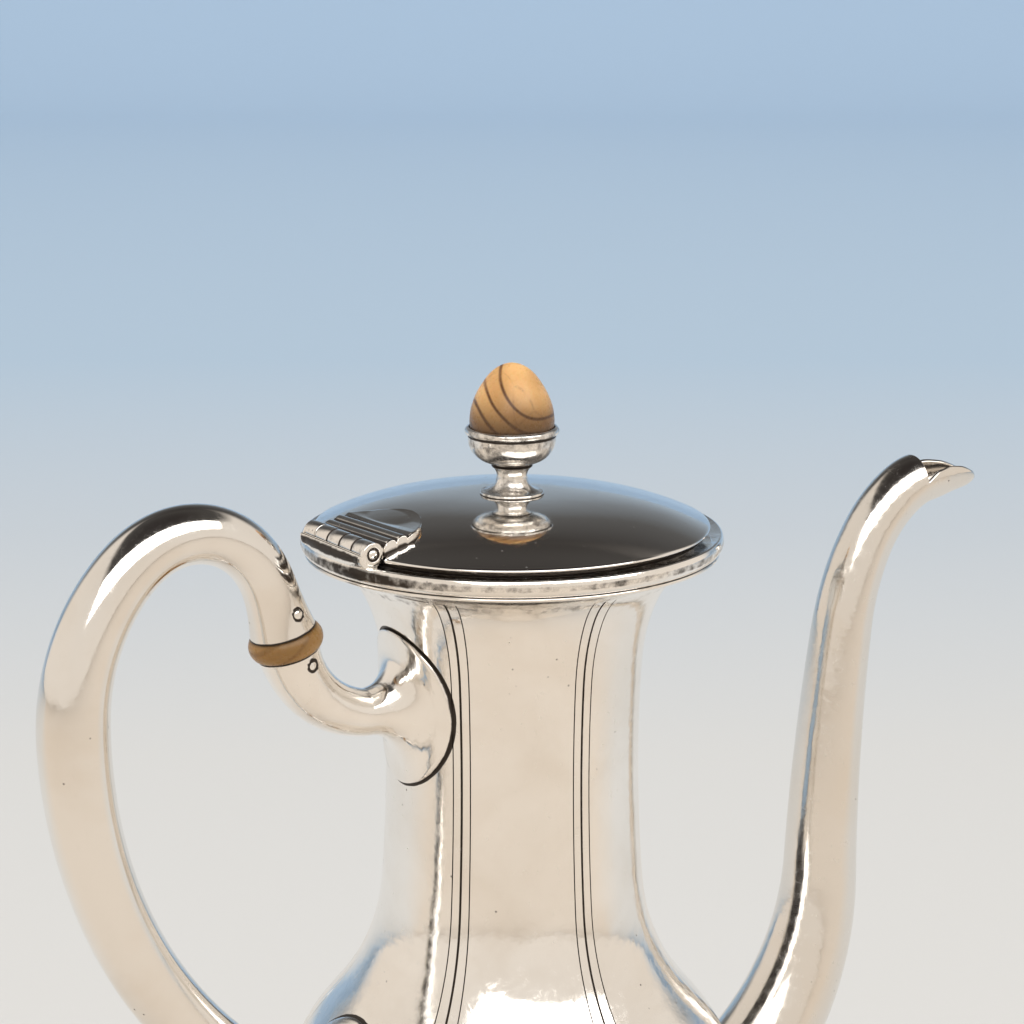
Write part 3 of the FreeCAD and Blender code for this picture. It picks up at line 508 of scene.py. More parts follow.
def ivory(name, tones, centre, grain, first, pitch, strength, painted_shade_heights=None):
    """Polished ivory: nested growth lines about a centre, hair cracks, and light within.
    The tones are its light layers, its dark layers and its lines. Given two heights, painted shade darkens
    it toward and below the lower one."""
    light, dark, line = tones
    material, shader, place = new_material(name)
    sway = shader.noise(place, 70.0, 1.0, 0.5)
    fine = shader.noise(place, 900.0, 4.0, 0.6)
    away = shader.vector("SUBTRACT", place, centre)
    apart = shader.vector("SUBTRACT", away, shader.vector("PROJECT", away, grain))
    out = shader.vector("LENGTH", apart, output="Value")
    steps = shader.math("DIVIDE", shader.minus(out, first), pitch)
    reach = shader.plus(steps, shader.times(sway, 0.6))
    layer = shader.gap(shader.math("FRACT", shader.plus(reach, 0.1)), 0.5)
    growth = shader.times(shader.span(layer, 0.02, 0.17, 1.0, 0.0), shader.span(sway, 0.3, 0.6, 0.5, 1.0))
    growth = shader.times(growth, shader.span(steps, -0.6, -0.4))
    cells = shader.add("TexVoronoi", "Distance", feature="DISTANCE_TO_EDGE",
                       inputs={"Vector": shader.stretch(place, CRACK_CELLS), "Scale": 1.0})
    cracks = shader.times(shader.span(cells, 0.0, 0.03, 1.0, 0.0), shader.span(fine, 0.4, 0.6, 0.1, 0.9))
    waves = shader.math("SINE", shader.times(reach, 2.2))
    colour = shader.blend(shader.span(waves, -1.0, 1.0), light, dark)
    colour = shader.blend(shader.times(growth, strength), colour, line)
    colour = shader.blend(shader.times(cracks, strength * 0.35), colour, line)
    # Painted shade: darker toward the bottom, where less light reaches.
    if painted_shade_heights:
        colour = shader.blend(shader.span(shader.axis(place, "Z"), *painted_shade_heights, 0.95, 0.0), colour, LOW_PAINTED_SHADE)
    darkening = shader.times(shader.stored("tarnish"), shader.span(fine, 0.3, 0.6, 0.5, 1.0))
    shader.surface({
        "Base Color": shader.blend(darkening, colour, IVORY_GRIME),
        "Roughness": shader.span(fine, 0.3, 0.7, 0.22, 0.4),
        "Subsurface Weight": 0.35,
        "Subsurface Radius": (1.0, 0.55, 0.3),
        "Subsurface Scale": 0.0015,
        "Specular IOR Level": 0.35,
        "Normal": shader.bump(shader.minus(fine, cracks), CRACK_DEPTH),
    })
    return material


BODY_SILVER = silver("body_silver", 0.00003, 0.12, 0.45)
HANDLE_SILVER = silver("handle_silver", 0.00001, 0.09, 0.6, clean=(0.87, 0.85, 0.82, 1.0))
SPOUT_SILVER = silver("spout_silver", 0.00003, 0.13, 0.7, clean=(0.81, 0.78, 0.74, 1.0))
LID_SILVER = silver("lid_silver", 0.000003, 0.07, 0.1, scratch=0.06)
BRIGHT_SILVER = silver("bright_silver", 0.00001, 0.07, 0.25)
HINGE_SILVER = silver("hinge_silver", 0.000006, 0.08, 0.5, scratch=0.15)
FINIAL_SILVER = silver("finial_silver", 0.000012, 0.1, 1.0, scratch=0.15)
FIXING_SILVER = silver("fixing_silver", 0.000005, 0.25, 0.8)
EGG_TONES = ((0.88, 0.53, 0.22, 1.0), (0.70, 0.40, 0.16, 1.0), (0.11, 0.04, 0.014, 1.0))
EGG_IVORY = ivory("egg_ivory", EGG_TONES, centre=(0.0059, -0.0037, 0.2339), grain=(-0.534, -0.845, 0.0),
                  first=0.0092, pitch=0.0034, strength=0.95, painted_shade_heights=(0.2205, 0.2325))
BAND_TONES = ((0.44, 0.26, 0.10, 1.0), (0.32, 0.18, 0.06, 1.0), (0.10, 0.045, 0.018, 1.0))
BAND_IVORY = ivory("band_ivory", BAND_TONES, centre=(0.0, 0.0, 0.12), grain=(0.0, 1.0, 0.0),
                   first=0.004, pitch=0.004, strength=0.3)


# ---- body

WALL = 1.2
GROUP_ANGLES = (0.0, 55.0, 125.0, 180.0, 235.0, 305.0)
LINE_SPREAD = 4.1
LINE_DEPTH = 0.3
LINE_ENDS = (30.0, 190.0)
THICK_LINE = 0.55
THIN_LINE = 0.28
PANEL_STEP = 2.5
LINE_MARGIN = 1.3
LINE_COLUMNS = ((-0.5, 0), (-0.3, 1), (0.3, 1), (0.5, 0))
INSIDE_SHADE = 0.25
# Painted reflection of the rim's underside and painted shade, in bands round the body under its rim:
# (height, reach, depth).
UNDER_RIM_PAINTED_BANDS = ((189.0, 4.5, 0.44), (192.5, 1.2, 0.7))


def body_columns():
    """Columns round the body as (angle from the front, offset across, share of the line depth)."""
    columns = []
    lines = []
    for group in GROUP_ANGLES:
        for side, width in ((-1, THIN_LINE), (0, THICK_LINE), (1, THIN_LINE)):
            lines.append(group + side * LINE_SPREAD)
            for share, depth in LINE_COLUMNS:
                columns.append((lines[-1], width * share, depth))
    for number in range(round(360 / PANEL_STEP)):
        angle = number * PANEL_STEP
        nearest = min(abs((angle - line + 180) % 360 - 180) for line in lines)
        if nearest > LINE_MARGIN:
            columns.append((angle, 0.0, 0))
    return sorted(columns, key=lambda column: (column[0] % 360, column[1]))


def seam_gap(point):
    """How far a point of the body lies outside the nearer soldered edge of the handle's sockets."""
    return min(UPPER_SOCKET.seam_gap(point), LOWER_SOCKET.seam_gap(point))


def under_rim_shade(height):
    return max(depth * peak(height, level, reach) for level, reach, depth in UNDER_RIM_PAINTED_BANDS)


def body_shell():
    """The raised body with its engraved upright lines and its strainer."""
    columns = body_columns()
    outer = [*BODY_OUTER, (0.0, BODY_OUTER[-1][1])]
    inner = body_outline(inset=WALL)
    inner = [(0.0, inner[-1][1]), *inner[::-1]]
    points, tarnish, seams = [], [], []
    for number, (radius, height) in enumerate([*outer, *inner]):
        outside = number < len(outer)
        # Outside, under_rim_shade paints the reflection and shade that fall under the rim.
        shade = under_rim_shade(height) if outside else INSIDE_SHADE
        ends = [min(1.0, max(0.0, gap)) for gap in (height - LINE_ENDS[0], LINE_ENDS[1] - height)]
        cut = LINE_DEPTH * min(ends) if outside else 0.0
        for angle, offset, depth in columns:
            turn = radians(angle) + (asin(offset / radius) if radius > 5 else 0.0)
            reach = max(0.0, radius - cut * depth)
            point = (reach * sin(turn), -reach * cos(turn), height)
            points.append(point)
            seams.append(SEAM_ZERO + (seam_gap(point) if outside else SEAM_LIMIT))
            tarnish.append(1.0 if depth and cut > LINE_DEPTH / 2 else shade)
    faces = grid_faces(len(outer) + len(inner), len(columns), loop_rows=True)
    piece = finish_piece("body", points, faces, BODY_SILVER, node="body_shell", tarnish=tarnish, seam=seams)
    drill(piece, strainer_tool())


STRAINER_RINGS = ((0.0, 1), (4.6, 6), (9.2, 12))
STRAINER_HEIGHT = 50.0
STRAINER_HOLE = 1.5
STRAINER_RODS = (52.0, 72.0)
ROD_SIDES = 20


def strainer_tool():
    """Rods through the wall behind the spout, one for each strainer hole."""
    rods = Shells()
    for reach, count in STRAINER_RINGS:
        for turn in around(count):
            y, z = reach * cos(turn), STRAINER_HEIGHT + reach * sin(turn)
            rods.grid([[(x, y + STRAINER_HOLE * cos(angle), z + STRAINER_HOLE * sin(angle))
                        for angle in around(ROD_SIDES)] for x in STRAINER_RODS], untarnished)
    return rods


def drill(piece, tool):
    """Cuts the tool out of the piece for good, then throws the tool away."""
    rods = make_object("drill", tool.points, tool.faces)
    cut = piece.modifiers.new("strainer", "BOOLEAN")
    cut.operation = "DIFFERENCE"
    cut.solver = "EXACT"
    cut.object = rods
    bpy.context.view_layer.update()
    result = bpy.data.meshes.new_from_object(piece.evaluated_get(bpy.context.evaluated_depsgraph_get()))
    piece.modifiers.clear()
    piece.data = result
    bpy.data.objects.remove(rods)


# Dark places of the rim, each a level and how far the dark reaches; the grime is in degrees round it.
RIM_GROOVE = (194.2, 0.22)
RIM_UNDER = (193.35, 0.3)
RIM_SEAT = (41.9, 1.6)
RIM_GRIME = (192.0, 38.0)
RIM_BAND = 196.3


def rim_shade(radius, height, turn):
    """Dark where polish never reaches: the groove of the rim and below its bead; the seat under the lid is
    painted shade.
    """
    groove = peak(height, *RIM_GROOVE) * (radius > 44)
    under = max(0.0, min(1.0, (RIM_UNDER[0] - height) / RIM_UNDER[1])) * 0.8
    grime = peak(degrees(turn), *RIM_GRIME)
    band = (0.45 + 0.17 * grime) * min(1.0, 1.7 * peak(height, RIM_BAND, 1.4 + grime)) * (radius > 45)
    # Painted shade in the gap under the lid's edge.
    seat = 0.95 * peak(radius, *RIM_SEAT) * (height > 197)
    return max(groove, under, band, seat)


def rim_outline():
    outline = [(38.0, 193.0), (38.0, 199.1), (41.0, 199.1), (41.6, 198.0)]
    outline += bow((41.9, 197.9), (46.3, 198.15), -0.18, 10)
    outline += bow((46.6, 198.0), (46.0, 194.35), 0.72, 18)
    outline += [(45.7, 194.2)]
    outline += bow((45.95, 194.05), (45.8, 193.35), 0.25, 8)
    outline += [(45.3, 193.15), (44.6, 193.0)]
    return soften(outline, 0.14)


def foot_outline():
    """The spun skirt's section, from the foot moulding up to where it meets the body."""
    outer = bow((38.0, 7.5), (39.0, 30.0), 6.5, 40)
    inner = bow((36.0, 7.5), (36.2, 30.0), 6.5, 40)
    base = min(height for _, height in BODY_OUTER) - 0.05
    outer = [spot for spot in outer if spot[1] < base or spot[0] > float(body_radius(spot[1])) - 0.3]
    inner = [spot for spot in inner if spot[1] < base]
    return [*outer, *inner[::-1]]


def foot_ring_outline():
    outline = [(36.0, 7.5), (36.0, 0.0), (40.4, 0.0)]
    outline += bow((41.2, 0.6), (41.0, 3.6), 0.9, 12)
    outline += bow((40.4, 3.9), (39.6, 5.6), -0.35, 6)
    outline += bow((39.8, 5.8), (39.3, 7.5), 0.4, 6)
    return soften(outline, 0.25)


# ---- lid

LID_RADIUS = 44.0
LID_EDGE = 199.75
LID_RISE = 6.9
LID_FIXED = 34.0
NOTCH_DEPTH = 40.2
NOTCH_HALF = 14.35
UNDERSIDE_SHADE = 0.3
BEZEL_SHADE = 0.2


def lid_height(radius):
    return LID_EDGE + LID_RISE * (1 - (radius / LID_RADIUS) ** 3)


def lid_limit(turn):
    """How far the lid reaches in a direction: to its round edge, or to the notch for the hinge."""
    x, y = cos(turn), sin(turn)
    if abs(y) * NOTCH_DEPTH < -x * NOTCH_HALF:
        return NOTCH_DEPTH / -x
    return LID_RADIUS


def lid_directions():
    """Angles round the lid in degrees, with a pair at each side of the notch."""
    corner = 180 - degrees(atan2(NOTCH_HALF, NOTCH_DEPTH))
    half = [*np.arange(0, corner - 0.5, 2.0), corner, corner + 0.02]
    half += [*np.arange(corner + 1, 179.5, 1.5), 180.0]
    return half + [360 - value for value in half[-2:0:-1]]


def lid_dome():
    """The shallow dome, its hollow underside and the notch at its back edge."""
    domed = np.concatenate([[0.0, 1.0], np.linspace(3, 42.0, 40), np.linspace(42.4, 43.6, 5)])
    top = [(radius, 0.0) for radius in domed] + [(43.85, 0.05), (43.97, 0.16), (44.0, 0.3)]
    under = [(44.0, 199.35), (43.9, 199.23), (43.7, 199.2), (42.0, 199.2), (40.5, 199.2), (39.6, 199.9)]
    under += bow((39.0, 200.9), (24.0, 204.3), 0.5, 8) + bow((24.0, 204.3), (0.0, 205.5), 0.3, 8)[1:]
    directions = np.radians(lid_directions())
    points, tarnish = [], []
    for number, (radius, level) in enumerate(top + under):
        for turn in directions:
            reach = radius
            if radius > LID_FIXED:
                share = (radius - LID_FIXED) / (LID_RADIUS - LID_FIXED)
                reach = LID_FIXED + share * (lid_limit(turn) - LID_FIXED)
            height = lid_height(reach) - level if number < len(top) else level
            points.append((reach * cos(turn), reach * sin(turn), height))
            tarnish.append(0.0 if number < len(top) else UNDERSIDE_SHADE)
    faces = grid_faces(len(top) + len(under), len(directions))
    finish_piece("lid", points, faces, LID_SILVER, LID, node="lid_dome", sharp=30, tarnish=tarnish)


def bezel_outline():
    """The flange under the lid that sits in the mouth."""
    return soften([(36.3, 202.2), (36.3, 195.5), (37.5, 195.5), (37.5, 202.2)], 0.25)


# ---- hinge

HINGE_X = -43.1
HINGE_Z = 200.8
BARREL = 2.6
KNUCKLES = 5
BARREL_LENGTH = 26.4
PITCH = BARREL_LENGTH / KNUCKLES
KNUCKLE_GAP = 0.16
KNUCKLE = PITCH - KNUCKLE_GAP
PIN = 1.05
PIN_LENGTH = 26.3
RECESS = 0.14
BREAK = 0.18
BARREL_SHADE = 0.38
SHOWN_SHADE = 0.3


def along_y(x, y, z):
    """A placement whose Z axis runs along +Y."""
    return Matrix.Translation((x, y, z)) @ Matrix.Rotation(-pi / 2, 4, "X")


def knuckle_outline(open_end):
    """One barrel length, with a shallow recess round the pin where its end shows."""
    outline = [(0.0, 0.0)]
    if open_end:
        outline = [(0.0, RECESS), (PIN + 0.5, RECESS), (PIN + 0.55, 0.0)]
    outline += [(BARREL - BREAK, 0.0), (BARREL, BREAK)]
    outline += [(BARREL, KNUCKLE - BREAK), (BARREL - BREAK, KNUCKLE), (0.0, KNUCKLE)]
    return soften(outline, 0.1)


def add_knuckles(shells, places):
    for number in places:
        y = number * PITCH - BARREL_LENGTH / 2 + KNUCKLE_GAP / 2
        outer = number in (0, KNUCKLES - 1)
        outline = knuckle_outline(outer)
        if number == KNUCKLES - 1:
            outline = [(radius, KNUCKLE - height) for radius, height in outline[::-1]]

        def shade(radius, height, turn):
            # Painted shadow fills the recess round the pin.
            if radius < PIN + 0.52:
                return 1.0
            end = min(height, KNUCKLE - height)
            shown = outer and end < 0.2 and radius < BARREL - 0.02
            darkening = SHOWN_SHADE if shown else 1.0
            return (1.0 if end < 0.25 else BARREL_SHADE) * (radius > BARREL - 0.5) * darkening

        shells.turned(outline, along_y(HINGE_X, y, HINGE_Z), shade)


RIDGE_X = -46.4
RIDGE_Z = 200.9
RIM_EDGE = 46.9
CRADLE = BARREL + 0.2
LEAF_DARK_LEVEL = 199.7
LEAF_FOOT = 197.9


def rim_leaf_section(y, ended):
    """The fixed leaf's section: a hollow outer wall, a ridge, and a cradle for the barrel."""
    edge = -sqrt(RIM_EDGE ** 2 - y ** 2)
    crest = (RIDGE_X, RIDGE_Z - 0.25)
    section = [(-42.2, LEAF_FOOT), (edge + 0.05, LEAF_FOOT + 0.05), (edge, LEAF_FOOT + 0.2)]
    section += bow(section[-1], crest, 0.45 + 0.2 * (edge - RIDGE_X > 0.8))[1:]
    section += bow(crest, (RIDGE_X + 0.45, RIDGE_Z), 0.12, 4)[1:]
    radius, first, last = (BARREL, 152, -60) if ended else (CRADLE, 176, 290)
    for turn in np.radians(np.linspace(first, last, 20)):
        section.append((HINGE_X + radius * cos(turn), HINGE_Z + radius * sin(turn)))
    return [(x, y, z) for x, z in section]


def leaf_shade(point):
    x, _, z = point
    # Dark in the cradle under the barrel, and darker in a band along the hollow outer wall.
    deep = hypot(x - HINGE_X, z - HINGE_Z) < CRADLE + 0.25 and z < RIDGE_Z - 0.1
    return 1.0 if deep else peak(z, LEAF_DARK_LEVEL, 1.7) * (x < RIDGE_X + 0.9)


def rim_hinge_leaf():
    shells = Shells()
    half = BARREL_LENGTH / 2
    shells.grid([rim_leaf_section(y, False) for y in np.linspace(-half + 0.5, half - 0.5, 41)], leaf_shade)
    for near, far in ((-half + 0.24, -half + 0.9), (half - 0.9, half - 0.24)):
        rows = [rim_leaf_section(y, True) for y in np.linspace(near, far, 4)]
        shells.grid(rows, lambda point: 0.35 if point[2] < 199.4 else 0.0)
    add_knuckles(shells, range(0, KNUCKLES, 2))
    shells.finish("rim_hinge_leaf", HINGE_SILVER, sharp=32)


def mirrored(outline):
    """An outline that ends at height 0, followed by its mirror image below."""
    return outline + [(radius, -height) for radius, height in outline[-2::-1]]


def hinge_pin():
    half = PIN_LENGTH / 2
    end = [(0.0, half + 0.22), (0.5, half + 0.18), (0.85, half + 0.03), (PIN, half - 0.2), (PIN, 0.0)]
    shells = Shells()
    shells.turned(mirrored(end), along_y(HINGE_X, 0.0, HINGE_Z), untarnished)
    shells.finish("hinge_pin", HINGE_SILVER, slot=FIXINGS)


FLAP_START = -40.55
FLAP_TIP = -26.0
FLAP_ARC = 16.8
FLAP_CORNER = -34.0
FLAP_SIDES = ((FLAP_START, -36.0, FLAP_CORNER), (13.65, 14.1, 14.3))
FLAP_GROOVES = (FLAP_START, -37.8, -35.2)
FLAP_PLACES = (FLAP_START, FLAP_GROOVES[-1], FLAP_CORNER, -29.0, FLAP_TIP)
FLAP_LEVELS = (202.75, 204.15, 204.7, 205.15, 205.95)
REED_RISE = 1.05
STEP_LENGTH = 1.3
STEP_DROP = 0.26
GROOVE_FLOOR = 202.0
GROOVE_HALF = 0.42
DISH_LENGTH = 3.0
FLAP_DISH = 0.5
FLAP_THIN = 0.3
FLAP_TILT = 0.9


def flap_half_width(x):
    if x >= FLAP_CORNER:
        return sqrt(max(0.0, FLAP_ARC ** 2 - (x - FLAP_TIP + FLAP_ARC) ** 2))
    return float(np.interp(x, *FLAP_SIDES))


def flap_top(x):
    """The flap climbs from the barrel over two reeds, runs level and turns up at its tip."""
    level = float(np.interp(x, FLAP_PLACES, FLAP_LEVELS))
    for start, end in zip(FLAP_GROOVES, FLAP_GROOVES[1:]):
        if start <= x <= end:
            share = 2 * (x - start) / (end - start) - 1
            return level + REED_RISE * (sqrt(max(0.0, 1 - share ** 2)) - 0.45)
    ramp = min(1.0, (x - FLAP_GROOVES[-1]) / STEP_LENGTH)
    return level - STEP_DROP * (1 - ramp)


def flap_dish(x, share):
    """How far the flap is dished below its two sides and tilted down to one of them."""
    ramp = min(1.0, max(0.0, (x - FLAP_GROOVES[-1]) / DISH_LENGTH))
    narrowed = flap_half_width(x) / flap_half_width(FLAP_CORNER)
    return FLAP_DISH * ramp * narrowed ** 2 * (1 - share ** 2) + FLAP_TILT * narrowed * (share + 1) / 2


def flap_shade(point):
    x, y, z = point
    groove = min(abs(x - place) for place in FLAP_GROOVES)
    if z > GROOVE_FLOOR and groove < GROOVE_HALF and abs(y) < flap_half_width(x) - 0.2:
        return 1.0
    # Painted shadow along the flap's foot, in the gap where it meets the lid.
    return 0.9 if z < lid_height(hypot(x, y)) + 0.25 else 0.0


def lid_hinge_leaf():
    """The moving leaf: two knuckles, two reeds and a broad flap that lies on the lid."""
    shells = Shells()
    places = {*np.linspace(FLAP_START, FLAP_CORNER, 50), *np.linspace(FLAP_CORNER, FLAP_TIP - 0.02, 30)}
    for place in FLAP_GROOVES:
        places |= {place + 0.02, place + 0.12, place + 0.3, place - 0.12, place - 0.3}
    shares = (-1.0, -0.992, -0.975, -0.95, *np.linspace(-0.9, 0.9, 25), 0.95, 0.975, 0.992, 1.0)
    drops = {1.0: 0.45, 0.992: 0.2, 0.975: 0.05}
    rows = []
    for x in sorted(place for place in places if FLAP_START <= place < FLAP_TIP):
        half, high = flap_half_width(x), flap_top(x)
        top, under = [], []
        for share in shares:
            y, lid = half * share, lid_height(hypot(x, half * share))
            edge = drops.get(abs(share), 0.0)
            top.append((x, y, max(high - flap_dish(x, share), lid + FLAP_THIN) - edge))
            under.append((x, y, min(lid - 0.25, high - FLAP_DISH - FLAP_TILT - FLAP_THIN)))
        rows.append(top + under[::-1])
    shells.grid(rows, flap_shade)
    add_knuckles(shells, range(1, KNUCKLES, 2))
    shells.finish("lid_hinge_leaf", HINGE_SILVER, body=LID, sharp=32)


# ---- finial

FINIAL_SHADE = 0.43


def stem_outline():
    outline = [(0.0, 206.3), (7.0, 206.45), (7.15, 206.9), (6.95, 207.3)]
    outline += bow((6.95, 207.3), (3.4, 210.7), 1.05, 16)[1:]
    outline += bow((3.4, 210.7), (4.45, 212.75), 0.3, 10)[1:]
    outline += [(4.6, 212.95), (4.5, 213.1), (0.0, 213.1)]
    return soften(outline, 0.15)


def cup_outline():
    outline = [(0.0, 213.1), (4.3, 213.1), (4.65, 213.3), (4.6, 213.6)]
    outline += bow((4.5, 213.7), (9.75, 219.9), -1.75, 24)
    outline += bow((9.7, 220.05), (9.8, 221.75), -0.72, 12)
    outline += [(9.62, 221.8), (9.5, 221.2), (9.3, 219.5), (0.0, 216.5)]
    return outline


def egg_outline():
    outline = [(0.0, 216.6), (6.0, 217.4), (9.0, 219.4), (9.45, 221.8), (9.42, 223.6), (9.2, 225.6),
               (8.5, 227.9), (7.4, 230.2), (5.6, 232.9), (4.5, 234.1), (3.2, 235.1), (1.7, 235.8),
               (0.0, 236.05)]
    return relax(spaced(outline, 0.45), 8)


# ---- handle

UPPER_RING = (-57.5, 181.0)
UPPER_HEADING = 106.0
BAND_HALF = 2.5
HANDLE_LEGS = (
    (4.2, 0, 12.5),
    (6.1, 0, 11.7),
    (20.0, 117.5, 13.7),
    (45.2, 46.5, 15.7),
    (115.0, 18.0, 14.9),
    (104.0, 31.0, 14.6),
)
HANDLE_START = 14.6
TUBE_STEP = 0.8
PIN_TURN = 16.0
PIN_RADIUS = 1.15
HANDLE_PIN_REACH = 7.0
SOCKET_PIN_REACH = 5.2
JOINT_REACH = 12.0
PIN_GRIME = 1.9
PIN_FADE = 0.5
BAND_FADE = 0.7


def step_from(place, heading, length):
    turn = radians(heading)
    return (place[0] + length * cos(turn), place[1] + length * sin(turn))


def pin_direction(heading, side):
    """Outward direction of a cross pin: across the tube, turned a little toward the spout."""
    turn = radians(PIN_TURN)
    square = (-sin(radians(heading)), cos(radians(heading)))
    if square[0] < 0:
        square = (-square[0], -square[1])
    return Vector((square[0] * sin(turn), -cos(turn), square[1] * sin(turn))) * side


class Joint:
    """One end of the handle: where the ivory band sits, which way the tube runs, and its pins."""

    def __init__(self, ring, heading):
        self.ring = ring
        self.heading = heading

    def pin_centre(self, reach):
        x, z = step_from(self.ring, self.heading, reach)
        return Vector((x, 0.0, z))

    def placement(self):
        """A placement whose Z axis runs along the tube, with its origin at the band's middle."""
        turn = radians(90 - self.heading)
        return Matrix.Translation((self.ring[0], 0.0, self.ring[1])) @ Matrix.Rotation(turn, 4, "Y")

    def shade(self, point):
        """Dark round both pins and where the tube meets the band."""
        place = Vector(point)
        result = 0.0
        for reach in (HANDLE_PIN_REACH, -SOCKET_PIN_REACH):
            for side in (1, -1):
                gap = place - self.pin_centre(reach)
                direction = pin_direction(self.heading, side)
                if gap @ direction > 0:
                    aside = (gap - direction * (gap @ direction)).length
                    result = max(result, min(1.0, max(0.0, PIN_GRIME - aside) / PIN_FADE))
        local = self.placement().inverted() @ place
        if hypot(local.x, local.y) > JOINT_REACH:
            return result
        return max(result, peak(max(abs(local.z), BAND_HALF), BAND_HALF, BAND_FADE))

    def pin(self, name, reach, width):
        """A cross pin, flush with the tube and a little domed at both ends."""
        direction = pin_direction(self.heading, 1)
        half = width / 2
        end = [(0.0, half + 0.22), (0.6, half + 0.17), (0.95, half + 0.02), (PIN_RADIUS, half - 0.25)]
        turn = Vector((0, 0, 1)).rotation_difference(direction).to_matrix().to_4x4()
        place = Matrix.Translation(self.pin_centre(reach)) @ turn
        shells = Shells()
        shells.turned(mirrored([*end, (PIN_RADIUS, 0.0)]), place, untarnished, 28)
        shells.finish(name, BRIGHT_SILVER, slot=FIXINGS)

    def band(self, name, node):
        """The ivory band: a bulging ring, darkened at its two edges."""
        outline = [(0.0, -BAND_HALF), (6.6, -BAND_HALF)]
        outline += bow((7.2, -BAND_HALF + 0.1), (7.2, BAND_HALF - 0.1), -1.05, 14)
        outline += [(6.6, BAND_HALF), (0.0, BAND_HALF)]
        shells = Shells()
        shells.turned(outline, self.placement(), joint_shade((-BAND_HALF, BAND_HALF), 0.55), 72)
        shells.finish(name, BAND_IVORY, slot=IVORY, node=node)


UPPER = Joint(UPPER_RING, UPPER_HEADING)
HANDLE_PATH, END_HEADING = walk(
    step_from(UPPER_RING, UPPER_HEADING, BAND_HALF), UPPER_HEADING, HANDLE_START, HANDLE_LEGS, TUBE_STEP)
LOWER = Joint(step_from(HANDLE_PATH[-1][:2], END_HEADING, BAND_HALF), END_HEADING + 180)


def handle_tube():
    """The loop of hollow tube, fuller at its back and flared a little at both joints."""
    stations = relax(HANDLE_PATH, 60)
    ways = frames_along(stations)
    rows = [ring(station, way, station[2] / 2) for station, way in zip(stations, ways)]
    shells = Shells()
    shells.grid(rows, lambda point: max(UPPER.shade(point), LOWER.shade(point)))
    shells.finish("handle", HANDLE_SILVER, node="handle_tube")


FLANGE_HALF = (17.5, 15.0)
FLANGE_THICK = 1.2
TRUMPET = 7.8


def body_gap(x, y, z):
    return hypot(x, y) - float(body_radius(z))


def solder_shade(point, reach):
    return peak(max(0.0, body_gap(*point)), 0.0, reach)


def land_on_body(start, way):
    """Distance along a direction from a point to the body's surface."""

    def outside(length):
        return body_gap(start[0] + way[0] * length, start[1], start[2] + way[1] * length) > 0

    return boundary(outside, -30.0, 30.0)


def flange_rings(centre, way, neck):
    """Rings that spread a tube of a given radius into an oval disc lying on the body."""
    across = left_of(way)
    profile = []
    for share in np.linspace(0, 1, 14):
        turn = share * pi / 2
        out, up = TRUMPET * (1 - cos(turn)), TRUMPET * (1 - sin(turn))
        profile.append((neck + out, FLANGE_THICK + up))
    reach = FLANGE_HALF[1]
    flat = np.linspace(profile[-1][0], reach - 0.35, 5)[1:]
    profile += [(radius, FLANGE_THICK - 0.25 * number / len(flat)) for number, radius in enumerate(flat, 1)]
    profile += [(reach - 0.08, FLANGE_THICK - 0.45), (reach, FLANGE_THICK - 0.75)]
    profile += [(reach, 0.1), (reach - 0.05, -0.4)]
    rings = []
    for radius, height in profile:
        oval = 1 + (FLANGE_HALF[0] / FLANGE_HALF[1] - 1) * max(0.0, radius - neck) / (reach - neck)
        row = []
        for turn in around(TUBE_SEGMENTS):
            out, y = radius * oval * cos(turn), radius * sin(turn)
            x, z = centre[0] + across[0] * out, centre[1] + across[1] * out
            travel = land_on_body((x, y, z), way) - height
            row.append((x + way[0] * travel, y, z + way[1] * travel))
        rings.append(row)
    return rings


SEAM_LIMIT = 5.0
SOCKET_START = 13.8


class Socket:
    """The fixed arm between a band and the body, ending in a soldered oval disc."""

    def __init__(self, joint, legs):
        self.joint = joint
        place = step_from(joint.ring, joint.heading + 180, BAND_HALF)
        stations, heading = walk(place, joint.heading + 180, SOCKET_START, legs, TUBE_STEP)
        self.way = np.array([cos(radians(heading)), sin(radians(heading))])
        self.stations = relax(stations, 25)
        lengths = [land_on_body((station[0], 0.0, station[1]), self.way) for station in self.stations]
        kept = [number for number, length in enumerate(lengths) if length > FLANGE_THICK + TRUMPET + 0.6]
        self.arm = self.stations[: kept[-1] + 1]

    def seam_gap(self, point):
        """How far a point of the body lies outside the soldered edge of the disc, up to a limit."""
        if point[0] > 0:
            return SEAM_LIMIT
        out = left_of(self.way) @ (np.array([point[0], point[2]]) - self.arm[-1][:2])
        oval = hypot(out / FLANGE_HALF[0], point[1] / FLANGE_HALF[1])
        return min(SEAM_LIMIT, (oval - 1.01) * FLANGE_HALF[1])

    def shade(self, point):
        """Dark at the band, round its pins and along the soldered edge."""
        return max(self.joint.shade(point), solder_shade(point, 1.0))

    def build(self, name):
        ways = frames_along(self.stations)
        rows = [ring(station, way, station[2] / 2) for station, way in zip(self.arm, ways)]
        rows += flange_rings(self.arm[-1][:2], self.way, self.arm[-1][2] / 2)
        shells = Shells()
        shells.grid(rows, self.shade)
        shells.finish(name, BODY_SILVER)


UPPER_SOCKET = Socket(UPPER, ((1.0, 0, 13.2), (22.0, 74.0, 10.2), (10.0, 0, 10.2)))
LOWER_SOCKET = Socket(LOWER, ((3.0, 0, 13.0), (30.0, 24.6, 11.4), (12.0, 0, 11.4)))


# ---- spout

